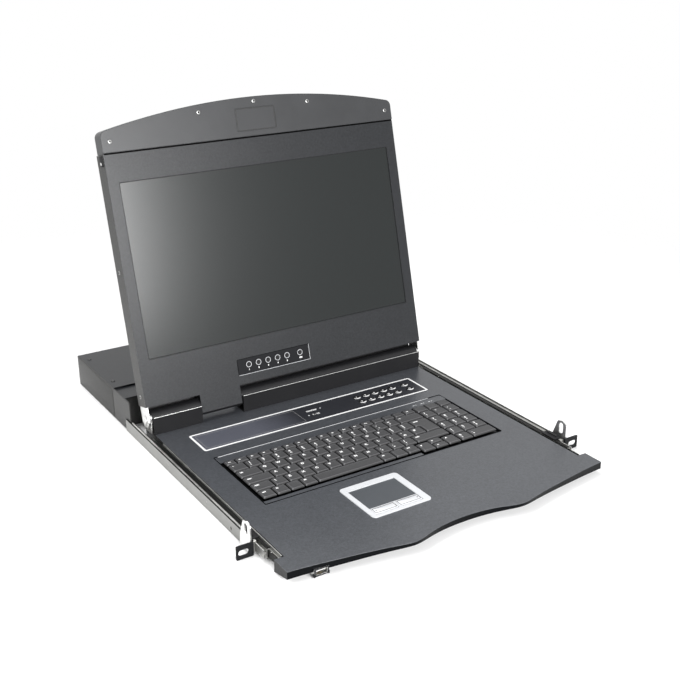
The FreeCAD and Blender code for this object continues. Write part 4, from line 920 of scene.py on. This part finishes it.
class CONSOLE_OT_keyboard(bpy.types.Operator):
    """Build the dished key caps with their characters"""

    bl_idname = "console.keyboard"
    bl_label = "Keyboard"
    bl_options = {"REGISTER", "UNDO"}

    def execute(self, context):
        for node, words in KEY_ROWS.items():
            self.row(node, words)
        self.lamps()
        self.surround()
        return {"FINISHED"}

    def row(self, node, words):
        """Caps of one row on their stems, and the characters on them."""
        caps = bmesh.new()
        marks = bmesh.new()
        keys = islands(node)
        keys.sort(key=lambda k: (round(centre_of(k[0], k[1]).y / (6 * MM)), k[0].x))
        for index, (low, high, points) in enumerate(keys):
            foot = min(p.z for p in points if p.z > low.z + 2.0 * MM)
            corners = rectangle(low.x, high.x, low.y, high.y)
            x, y, _ = centre_of(low, high)
            if node == "enter_key":
                corners = self.return_outline(points, foot, low, high)
                ends = [p for p in points if p.z < low.z + 0.1 * MM]
                x, y = sum(p.x for p in ends) / len(ends), sum(p.y for p in ends) / len(ends)
            self.cap(caps, corners, foot, high.z)
            add_lathe(caps, [(2.4 * MM, 0.0), (2.4 * MM, foot - low.z + 0.4 * MM)], at(x, y, low.z), 16)
            self.mark(marks, words[index] if index < len(words) else "", corners, high.z)
        body = BODY_OF[node]
        made = piece(node + "_caps", caps, body, "key_plastic")
        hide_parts(node)
        if len(marks.faces):
            piece(node + "_marks", marks, body, "ink", smooth=False)
        else:
            marks.free()

    def return_outline(self, points, foot, low, high):
        """Six corners of the return key's foot."""
        base = [p for p in points if abs(p.z - foot) < 0.05 * MM]
        inner = min(p.x for p in base if p.y < (low.y + high.y) / 2 - 3.0 * MM)
        step = max(p.y for p in base if abs(p.x - inner) < 0.05 * MM)
        corners = [(inner, low.y), (high.x, low.y), (high.x, high.y), (low.x, high.y), (low.x, step),
                   (inner, step)]
        return [Vector(corner) for corner in corners]

    def cap(self, mesh, corners, foot, top):
        """One cap: upright skirt, drawn-in sides, rounded rim and a shallow dish."""
        d = details()
        growth = d.cap_top_radius - d.cap_radius
        sides = ((0.0, 0.0), (0.05, 0.35), (0.55, 0.72), (0.85, 0.93), (1.0, 1.0))
        profile = [(share, d.cap_radius + growth * share, foot + (top - foot) * height)
                   for share, height in sides]
        profile += [(1.5, d.cap_top_radius * 0.9, top - d.cap_dish * 0.6),
                    (2.4, d.cap_top_radius * 0.5, top - d.cap_dish)]
        add_loft(mesh, [at_level(ring_points(inset_polygon(corners, d.cap_taper * taper), radius), level)
                        for taper, radius, level in profile])

    def mark(self, mesh, words, corners, top):
        """Characters at the upper left of a cap's top."""
        if not words:
            return
        d = details()
        rear = max(c.y for c in corners)
        deep = rear - min(c.y for c in corners)
        size = d.legend if len(words) == 1 else d.legend * 0.68
        if deep < DEEP_KEY:
            size *= 0.8
        x = min(c.x for c in corners) + 3.6 * MM
        y = rear - 3.4 * MM - size * 0.7
        level = top - d.cap_dish * 0.95
        add_text(mesh, words, size, at(x, y, level), d.ink_lift * 2)
        if words in SECOND_MARKS and deep > DEEP_KEY:
            add_text(mesh, SECOND_MARKS[words], size * 0.8, at(x, y - size * 0.95, level), d.ink_lift * 2)

    def lamps(self):
        """Three small numbered lamp windows behind the number pad."""
        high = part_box("keyboard_base")[1]
        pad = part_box("keys_numpad")
        mesh = bmesh.new()
        dots = bmesh.new()
        y = (pad[1].y + high.y - 4.0 * MM) / 2 + 0.6 * MM
        for i in range(3):
            x = pad[0].x + (8.0 + 13.0 * i) * MM
            add_plate(mesh, rectangle(x - 1.6 * MM, x + 1.6 * MM, y - 0.7 * MM, y + 0.7 * MM), 0.5 * MM,
                      high.z - 0.2 * MM, high.z + 0.12 * MM, 0.08 * MM)
            add_text(dots, str(i + 1), 2.4 * MM, at(x + 3.0 * MM, y - 0.9 * MM, high.z), 0.1 * MM)
        piece("keyboard_lamps", mesh, "tray", "silver_plastic")
        piece("keyboard_lamp_marks", dots, "tray", "ink", smooth=False)

    def surround(self):
        """Painted shade in a dark band round the keyboard's edge, and a painted highlight along the ridge behind
        its rear row.
        """
        low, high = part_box("keyboard_base")
        # painted shade: a near-black band on the keyboard base round its edge
        joint = bmesh.new()
        add_frame(joint, low + Vector((3.4, 2.6, 0.0)) * MM, high - Vector((3.4, 0.4, 0.0)) * MM,
                  (0.0, 0.9 * MM), (1.5 * MM, 0.9 * MM), (high.z - 0.3 * MM, high.z + 0.04 * MM))
        piece("keyboard_edge_shade", joint, "tray", "gap_black")
        # painted highlight: a pale silver strip along the rear ridge
        ridge = bmesh.new()
        strip = rectangle(low.x + 9.0 * MM, high.x - 24.0 * MM, high.y - 2.4 * MM, high.y - 1.6 * MM)
        add_plate(ridge, strip, 0.2 * MM, high.z - 0.1 * MM, high.z + 0.3 * MM, 0.12 * MM)
        piece("keyboard_ridge_highlight", ridge, "tray", "silver_plastic")


class CONSOLE_OT_channel_panel(bpy.types.Operator):
    """Finish the channel panel with its outline, field border and numbered keys"""

    bl_idname = "console.channel_panel"
    bl_label = "Channel panel"
    bl_options = {"REGISTER", "UNDO"}

    def execute(self, context):
        dress("channel_panel")
        d = details()
        low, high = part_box("channel_panel")
        field = low.x + FIELD_WIDTH
        levels = (high.z - 0.05 * MM, high.z + d.ink_lift)
        outline = bmesh.new()
        add_frame(outline, low, high, (0.0, d.outline), (3.0 * MM, 1.2 * MM), levels)
        piece("panel_outline", outline, "tray", "ink")
        border = bmesh.new()
        edge = d.outline + 3.4 * MM
        add_frame(border, Vector((low.x + edge, low.y + edge)), Vector((field, high.y - edge)),
                  (0.0, 0.45 * MM), (1.0 * MM, 0.7 * MM), levels)
        piece("field_border", border, "tray", "grey_ink")
        self.keys()
        self.middle_marks(field, centre_of(low, high).y, high.z - 0.02 * MM)
        return {"FINISHED"}

    def keys(self):
        """Round caps with printed crescents, numbered row by row from the rear."""
        caps = bmesh.new()
        rings = bmesh.new()
        found = islands("channel_keys")
        found.sort(key=lambda k: (-round(centre_of(k[0], k[1]).y, 3), k[0].x))
        for index, (low, high, _) in enumerate(found, 1):
            x, y, _ = centre_of(low, high)
            collar = (high.x - low.x) / 2
            radius = collar - 0.9 * MM
            add_lathe(caps, [(collar, low.z), (collar, low.z + 0.8 * MM), (radius, low.z + 0.8 * MM),
                             (radius, high.z - 0.35 * MM), (radius - 0.12 * MM, high.z - 0.1 * MM),
                             (radius - 0.5 * MM, high.z), (radius * 0.7, high.z - 0.12 * MM),
                             (radius * 0.3, high.z - 0.2 * MM)], at(x, y), 40)
            self.crescent(rings, at(x, y), radius - 0.3 * MM, high.z)
            x -= 1.1 * MM * len(str(index))
            add_text(rings, str(index), 3.6 * MM, at(x, y - 0.3 * MM, high.z - 0.14 * MM), 0.16 * MM)
        made = piece("channel_key_caps", caps, "channel_keys_body", "black_plastic")
        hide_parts("channel_keys")
        piece("channel_key_marks", rings, "channel_keys_body", "ink", smooth=False)

    def crescent(self, mesh, place, radius, top):
        """Printed arc round the front of a key, widest at its middle."""
        steps = 22
        start, sweep = -170, 160
        thick, thin = 2.3 * MM, 0.3 * MM
        outer = []
        inner = []
        for i in range(steps + 1):
            angle = math.radians(start + sweep * i / steps)
            width = thick * math.sin(math.pi * i / steps) + thin
            outer.append((radius * math.cos(angle), radius * math.sin(angle)))
            inner.append(((radius - width) * math.cos(angle), (radius - width) * math.sin(angle)))
        ring = outer + inner[::-1]
        add_loft(mesh, [at_level(ring, top - 0.2 * MM), at_level(ring, top + 0.03 * MM)], place)

    def middle_marks(self, field, middle, top):
        """Two rows of small generic marks and lamps between the field and the keys."""
        marks = bmesh.new()
        lights = bmesh.new()
        for rise, start, words, lamp in ((0.0, 13.7, "ON/OFF", 35.4), (-12.0, 16.5, "1 - 12", 11.0)):
            spot = at(field + start * MM, middle + (4.6 + rise) * MM, top)
            add_text(marks, words, 4.4 * MM, spot, 0.1 * MM)
            spot = at(field + lamp * MM, middle + (6.4 + rise) * MM, top)
            add_lathe(lights, in_mm((1.2, 0.0), (1.2, 0.15), (0.8, 0.3), (0.3, 0.36)), spot, 24)
        piece("panel_marks", marks, "tray", "ink", smooth=False)
        piece("panel_lamps", lights, "tray", "silver_plastic")


class CONSOLE_OT_touchpad(bpy.types.Operator):
    """Finish the touchpad and print its button outlines and arrows"""

    bl_idname = "console.touchpad"
    bl_label = "Touchpad"
    bl_options = {"REGISTER", "UNDO"}

    def execute(self, context):
        dress("touchpad_frame", "touchpad_plate")
        self.button("touch_button_left", 1)
        self.button("touch_button_right", -1)
        self.surface_line()
        return {"FINISHED"}

    def button(self, node, turn):
        """Rounded button cap with an outline and a small arrow."""
        low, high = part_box(node)
        foot, flange = 0.75 * MM, low.z + 1.2 * MM
        corners = rectangle(low.x + foot, high.x - foot, low.y + foot, high.y - foot)
        mesh = bmesh.new()
        add_plate(mesh, rectangle(low.x, high.x, low.y, high.y), 1.4 * MM, low.z, flange)
        add_plate(mesh, corners, 1.2 * MM, flange, high.z, 0.5 * MM)
        cap = piece(node + "_cap", mesh, BODY_OF[node], "silver_plastic")
        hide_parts(node)
        marks = bmesh.new()
        levels = (high.z - 0.03 * MM, high.z + 0.02 * MM)
        rings = [ring_points(inset_polygon(corners, edge), radius)
                 for edge, radius in in_mm((0.9, 0.9), (1.6, 0.6))]
        add_band(marks, *rings, *levels)
        x = low.x + 4.5 * MM if turn > 0 else high.x - 4.5 * MM
        y = (low.y + high.y) / 2
        arrow = [Vector((x + turn * across, y + turn * up))
                 for across, up in in_mm((-1.1, 0.0), (0.7, -1.0), (0.7, 1.0))]
        add_plate(marks, arrow, 0.12 * MM, *levels)
        piece(node + "_marks", marks, BODY_OF[node], "black_plastic")

    def surface_line(self):
        """Dark joint round the touch surface."""
        low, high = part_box("touchpad_plate")
        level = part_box("touchpad_frame")[1].z
        mesh = bmesh.new()
        add_frame(mesh, low, high, (-0.35 * MM, 0.35 * MM), (1.2 * MM, 0.6 * MM),
                  (high.z - 0.05 * MM, min(level, high.z + 0.12 * MM)))
        piece("touchpad_joint", mesh, "tray", "black_plastic")


# ---- Hinge and display --------------------------------------------------------------------


class CONSOLE_OT_hinge(bpy.types.Operator):
    """Finish the hinge and fit the heads of its screws"""

    bl_idname = "console.hinge"
    bl_label = "Hinge"
    bl_options = {"REGISTER", "UNDO"}

    def execute(self, context):
        dress("hinge_covers", "hinge_brackets", "hinge_pins", "hinge_arms", "display_barrel", "cable_neck")
        self.pin_heads()
        self.cover_fittings()
        return {"FINISHED"}

    def pin_heads(self):
        """Domed head with a sunk middle on each end of the hinge pins."""
        mesh = bmesh.new()
        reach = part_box("hinge_pins")[1].x - 0.35 * MM
        for side in (-1, 1):
            plane = facing((side * reach, HINGE_AXIS.y, HINGE_AXIS.z), (side, 0, 0))
            add_lathe(mesh, in_mm((5.0, -0.1), (4.9, 0.12), (4.1, 0.3), (2.6, 0.34), (2.5, 0.1)), plane, 36)
        piece("hinge_pin_heads", mesh, "tray", "nickel_steel")

    def cover_fittings(self):
        """Two screws in each hinge cover's front wall, and a bright nickel rod along its top front edge as a
        painted highlight.
        """
        screws = bmesh.new()
        edges = bmesh.new()
        radius = 0.42 * MM
        for low, high, points in islands("hinge_covers"):
            for along in (0.08, 0.92):
                spot = (low.x + along * (high.x - low.x), low.y, low.z + 3.4 * MM)
                add_screw_head(screws, facing(spot, (0, -1, 0)), 1.5 * MM, 0.3 * MM)
            top = max(p.z for p in points if p.y < low.y + 2.0 * MM)
            along = [p.x for p in points if p.z > top - 0.5 * MM]
            # painted highlight: a thin bright rod on the top front edge
            section = circle(radius, (low.y + radius, top - 0.36 * MM), 12)
            add_loft(edges, [[(x, y, z) for y, z in section]
                             for x in (min(along) + 0.4 * MM, max(along) - 0.4 * MM)])
        piece("cover_wall_screws", screws, "tray", "black_plastic")
        piece("cover_edge_highlight", edges, "tray", "nickel_steel")


class CONSOLE_OT_display(bpy.types.Operator):
    """Finish the display and fit its screws, button rings and window line"""

    bl_idname = "console.display"
    bl_label = "Display"
    bl_options = {"REGISTER", "UNDO"}

    def execute(self, context):
        dress("display_shell", "display_bezel", "crown_cap", "lcd_panel", "panel_mounts", "display_board")
        dress("osd_plate", finish="button_film")
        dress("badge_plate", finish="crown_plastic")
        self.screws()
        self.buttons()
        self.plate_edge()
        self.window_line()
        side_row("shell_rivets", "display", "zinc_steel", panel_box("display_shell"),
                 [(0.30, 0.45), (0.52, 0.45), (0.74, 0.45)], [(1.5, -0.6), (1.5, -0.1), (1.0, -0.02)], 20,
                 (0, 1, 0), PANEL)
        self.bumpers()
        self.crown_fittings()
        return {"FINISHED"}

    def screws(self):
        """Cross-head screws in place of the plain ones, in the front and in the sides."""
        mesh = bmesh.new()
        recess_shade = bmesh.new()
        head = 0.9 * MM
        for _, _, points in islands("display_screws"):
            low, high = extent([FROM_PANEL @ p for p in points])
            wide, tall, deep = [b - a for a, b in zip(low, high)]
            x, y, z = centre_of(low, high)
            if deep > wide:
                plane = PANEL @ at(x, y, high.z - head)
                radius, shank = wide / 2, head - deep
            else:
                side = 1 if x > 0 else -1
                reach = max(abs(low.x), abs(high.x))
                plane = PANEL @ facing((side * (reach - head), y, z), (side, 0, 0), (0, 1, 0))
                radius, shank = tall / 2, head - wide
            add_screw_head(mesh, plane, radius, head)
            add_lathe(mesh, [(radius * 0.55, shank), (radius * 0.55, 0.0)], plane, 16)
            # painted shadow: near-black crosses laid in the cross recesses
            arm = rectangle(-radius * 0.56, radius * 0.56, -radius * 0.17, radius * 0.17)
            for turn in (0.0, math.pi / 2):
                add_plate(recess_shade, arm, radius * 0.1, -0.05 * MM, 0.475 * MM,
                          matrix=plane @ at(0, 0, 0.46 * MM) @ Matrix.Rotation(turn, 4, "Z"))
        heads = piece("display_screw_heads", mesh, "display", "screw_steel")
        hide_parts("display_screws")
        piece("display_screw_slot_shade", recess_shade, "display", "gap_black", smooth=False)

    def buttons(self):
        """Button caps with a printed ring, and small marks under them."""
        marks = bmesh.new()
        d = details()
        radius = d.button
        printed = radius - 0.25 * MM
        plate = panel_box("osd_plate")[1].z
        words = {"osd_button_%d" % i: str(i) for i in range(1, 6)}
        words["power_button"] = "ON"
        for node, word in words.items():
            low, high = panel_box(node)
            x, y, _ = centre_of(low, high)
            collar = (high.x - low.x) / 2
            place = PANEL @ at(x, y)
            back = place.inverted()
            local = [back @ v.co for v in NODES[node].data.vertices]
            stem = max(p.xy.length for p in local if p.z < low.z + 0.01 * MM)
            flange = [p.z for p in local if p.xy.length > collar - 0.02 * MM]
            mesh = bmesh.new()
            profile = [(stem, low.z + 0.05 * MM), (stem, min(flange)), (collar, min(flange)),
                       (collar, max(flange)), (radius, max(flange)), (radius, high.z - 0.4 * MM),
                       (radius - 0.12 * MM, high.z - 0.12 * MM), (radius - 0.45 * MM, high.z),
                       (radius * 0.6, high.z - 0.1 * MM), (radius * 0.3, high.z - 0.16 * MM)]
            add_lathe(mesh, profile, place, 40)
            cap = piece(node + "_cap", mesh, BODY_OF[node], "black_plastic")
            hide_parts(node)
            ring = bmesh.new()
            add_band(ring, circle(printed), circle(printed - d.ring), high.z - 0.2 * MM,
                     high.z + 0.02 * MM, place)
            piece(node + "_ring", ring, BODY_OF[node], "silver_plastic")
            spot = place @ at(-0.7 * MM * len(word), -radius - 3.9 * MM, plate)
            add_text(marks, word, 2.8 * MM, spot, 0.16 * MM)
        piece("button_marks", marks, "display", "ink", smooth=False)

    def plate_edge(self):
        """Painted highlight along the foot and the right of the button plate, painted shade in the groove along
        its other edges.
        """
        low, high = panel_box("osd_plate")
        line = 0.55 * MM
        left, right, foot, top = low.x + line, high.x - line, low.y + line, high.y - line
        # a pale strip as painted highlight on two edges, a near-black strip as painted shade on the other two
        for name, finish, lift, strips in (
                ("button_plate_highlight", "silver_plastic", 0.03 * MM,
                 ((left, right, foot, low.y + 2 * line), (high.x - 2 * line, right, foot, top))),
                ("button_plate_groove_shade", "gap_black", 0.02 * MM,
                 ((low.x, left, low.y + 2 * line, top), (left, high.x - 2 * line, top, high.y)))):
            mesh = bmesh.new()
            for strip in strips:
                add_plate(mesh, rectangle(*strip), 0.1 * MM, high.z - 0.05 * MM, high.z + lift, matrix=PANEL)
            piece(name, mesh, "display", finish)

    def window_line(self):
        """Rubber seal between the window and the screen."""
        low, high = panel_box("lcd_panel")
        inside = [p for p in panel_points("display_bezel")
                  if abs(p.x) < high.x - 1.0 * MM and low.y < p.y < high.y]
        x = max(abs(p.x) for p in inside)
        if x < (high.x - low.x) / 4:
            raise ValueError("The window's edge was not found on the bezel")
        mesh = bmesh.new()
        add_frame(mesh, Vector((-x, min(p.y for p in inside))), Vector((x, max(p.y for p in inside))),
                  (0.05 * MM, 0.8 * MM), (0.6 * MM, 0.4 * MM), (high.z + 0.01 * MM, high.z + 0.5 * MM), PANEL)
        piece("window_seal", mesh, "display", "black_plastic")

    def crown_fittings(self):
        """Painted shadow in the joint between the crown and the bezel, and a raised rim round the bare badge
        plate.
        """
        low, high = panel_box("display_bezel")
        foot = panel_box("crown_cap")[0].y
        # painted shadow: a near-black strip across the joint under the crown
        joint = bmesh.new()
        strip = rectangle(low.x + 1.0 * MM, high.x - 1.0 * MM, foot - 1.1 * MM, foot + 0.9 * MM)
        add_plate(joint, strip, 0.3 * MM, high.z - 0.4 * MM, high.z + 0.08 * MM, matrix=PANEL)
        piece("crown_joint_shadow", joint, "display", "gap_black")
        low, high = panel_box("badge_plate")
        rim = bmesh.new()
        add_frame(rim, low, high, (0.8 * MM, 1.7 * MM), (1.2 * MM, 0.6 * MM),
                  (high.z - 0.1 * MM, high.z + 0.15 * MM), PANEL)
        piece("badge_rim", rim, "display", "grey_steel")

    def bumpers(self):
        """Rubber stops with a bright rivet, let into the housing's sides under the crown."""
        high = panel_box("display_shell")[1]
        foot = panel_box("crown_cap")[0].y
        rubber = bmesh.new()
        rivets = bmesh.new()
        for side in (-1, 1):
            spot = (side * high.x, foot - 8.0 * MM, high.z - 8.0 * MM)
            plane = PANEL @ facing(spot, (side, 0, 0), (0, 1, 0))
            stop = rectangle(-4.5 * MM, 4.5 * MM, -6.5 * MM, 6.5 * MM)
            add_plate(rubber, stop, 1.2 * MM, -0.2 * MM, 1.3 * MM, 0.3 * MM, plane)
            add_lathe(rivets, in_mm((1.9, 1.0), (1.9, 1.5), (1.2, 1.9), (0.4, 2.0)),
                      plane @ at(0, -3.0 * MM), 20)
        piece("side_stops", rubber, "display", "black_plastic")
        piece("side_stop_rivets", rivets, "display", "nickel_steel")


# ---- Stage --------------------------------------------------------------------------------


class CONSOLE_OT_stage(bpy.types.Operator):
    """Set the floor, the lamps and the camera"""

    bl_idname = "console.stage"
    bl_label = "Stage"
    bl_options = {"REGISTER", "UNDO"}

    def execute(self, context):
        low, high = Vector(CAD_BOX[0]), Vector(CAD_BOX[1])
        self.floor(centre_of(low, high), low.z - 0.2 * MM)
        self.light(centre_of(low, high))
        self.camera()
        return {"FINISHED"}

    def floor(self, centre, level):
        """Pale floor that fades into the white surroundings."""
        reach = 4.0
        white_until, gone_from = 0.13, 0.28      # shares of the reach
        mesh = bmesh.new()
        mesh.faces.new([mesh.verts.new(p) for p in at_level(rectangle(-reach, reach, -reach, reach), level)])
        floor = solid("floor", mesh)
        paper = Finish("paper_floor")
        tone = paper.mix(paper.noise(0.8), (0.92, 0.92, 0.92, 1.0), (0.94, 0.94, 0.94, 1.0))
        spot = paper.node("ShaderNodeVectorMath", {"operation": "SUBTRACT"}, {0: paper.place(), 1: centre})
        away = paper.node("ShaderNodeVectorMath", {"operation": "LENGTH"}, {0: spot}, output=1)
        fade = paper.node("ShaderNodeValToRGB", {"stops": ((white_until, 1.0), (gone_from, 0.0))},
                          {0: away / reach})
        paper.feed(paper.shader.inputs["Alpha"], fade)
        floor.data.materials.append(paper.finish(tone, 0.9))

    def light(self, centre):
        """Even white surroundings and three soft lamps."""
        s = stage_settings()
        world = bpy.data.worlds.new("studio")
        world.use_nodes = True
        sky = Nodes(world.node_tree)
        seen, *others = [sky.node("ShaderNodeLightPath", output=ray)
                         for ray in ("Is Camera Ray", "Is Glossy Ray", "Is Transmission Ray")]
        for ray in others:
            seen = sky.math("MAXIMUM", seen, ray)
        background = sky.tree.nodes["Background"]
        background.inputs["Color"].default_value = (1.0, 1.0, 1.0, 1.0)
        sky.feed(background.inputs["Strength"],
                 sky.node("ShaderNodeMapRange", inputs={"To Min": s.world, "Value": seen}))
        bpy.context.scene.world = world
        for name, place, size, power in (("left_softbox", (-1.7, 0.1, 0.9), (1.2, 1.2), s.left_lamp),
                                         ("top_softbox", (-0.1, 0.9, 1.8), (1.4, 1.4), s.top_lamp),
                                         ("front_softbox", (-0.05, -2.15, 0.62), (1.4, 0.8), s.front_lamp)):
            self.lamp(name, centre + Vector(place), centre, size, power)

    def lamp(self, name, place, aim, size, power):
        """Rectangular lamp that the camera doesn't see."""
        data = bpy.data.lights.new(name, "AREA")
        data.shape = "RECTANGLE"
        data.size, data.size_y = size
        data.energy = power
        made = linked(name, data)
        made.matrix_world = facing(place, place - aim)
        made.visible_camera = False

    def camera(self):
        """Camera at its fitted place, looking along its azimuth and elevation."""
        s = stage_settings()
        azimuth = math.radians(s.azimuth)
        rise = math.radians(s.elevation)
        level = math.cos(rise)
        back = Vector((math.sin(azimuth) * level, -math.cos(azimuth) * level, math.sin(rise)))
        data = bpy.data.cameras.new("camera")
        data.lens = s.lens
        made = linked("camera", data)
        place = facing((s.camera_x, s.camera_y, s.camera_z), back)
        made.matrix_world = place @ Matrix.Rotation(math.radians(s.roll), 4, "Z")
        bpy.context.scene.camera = made
        bpy.context.scene.view_settings.view_transform = "Standard"


class CONSOLE_PT_panel(bpy.types.Panel):
    """Settings and steps of the drawer's dressing"""

    bl_idname = "CONSOLE_PT_panel"
    bl_label = "Console drawer"
    bl_space_type = "VIEW_3D"
    bl_region_type = "UI"
    bl_category = "Console"

    def draw(self, context):
        for group in (finishes(), details(), stage_settings()):
            box = self.layout.box()
            for name in group.bl_rna.properties.keys():
                if name not in ("rna_type", "name"):
                    box.prop(group, name)
        for step in STEPS:
            self.layout.operator(step.bl_idname)


STEPS = (CONSOLE_OT_case, CONSOLE_OT_rails, CONSOLE_OT_tray, CONSOLE_OT_keyboard, CONSOLE_OT_channel_panel,
         CONSOLE_OT_touchpad, CONSOLE_OT_hinge, CONSOLE_OT_display, CONSOLE_OT_stage)
CLASSES = (FinishSettings, DetailSettings, StageSettings) + STEPS + (CONSOLE_PT_panel,)


def register():
    for each in CLASSES:
        bpy.utils.register_class(each)
    bpy.types.Scene.console_finish = PointerProperty(type=FinishSettings)
    bpy.types.Scene.console_detail = PointerProperty(type=DetailSettings)
    bpy.types.Scene.console_stage = PointerProperty(type=StageSettings)


def unregister():
    del bpy.types.Scene.console_stage
    del bpy.types.Scene.console_detail
    del bpy.types.Scene.console_finish
    for each in reversed(CLASSES):
        bpy.utils.unregister_class(each)


def main():
    """Dress the loaded drawer step by step."""
    register()
    for step in STEPS:
        group, name = step.bl_idname.split(".")
        getattr(getattr(bpy.ops, group), name)()


if __name__ == "__main__":
    main()
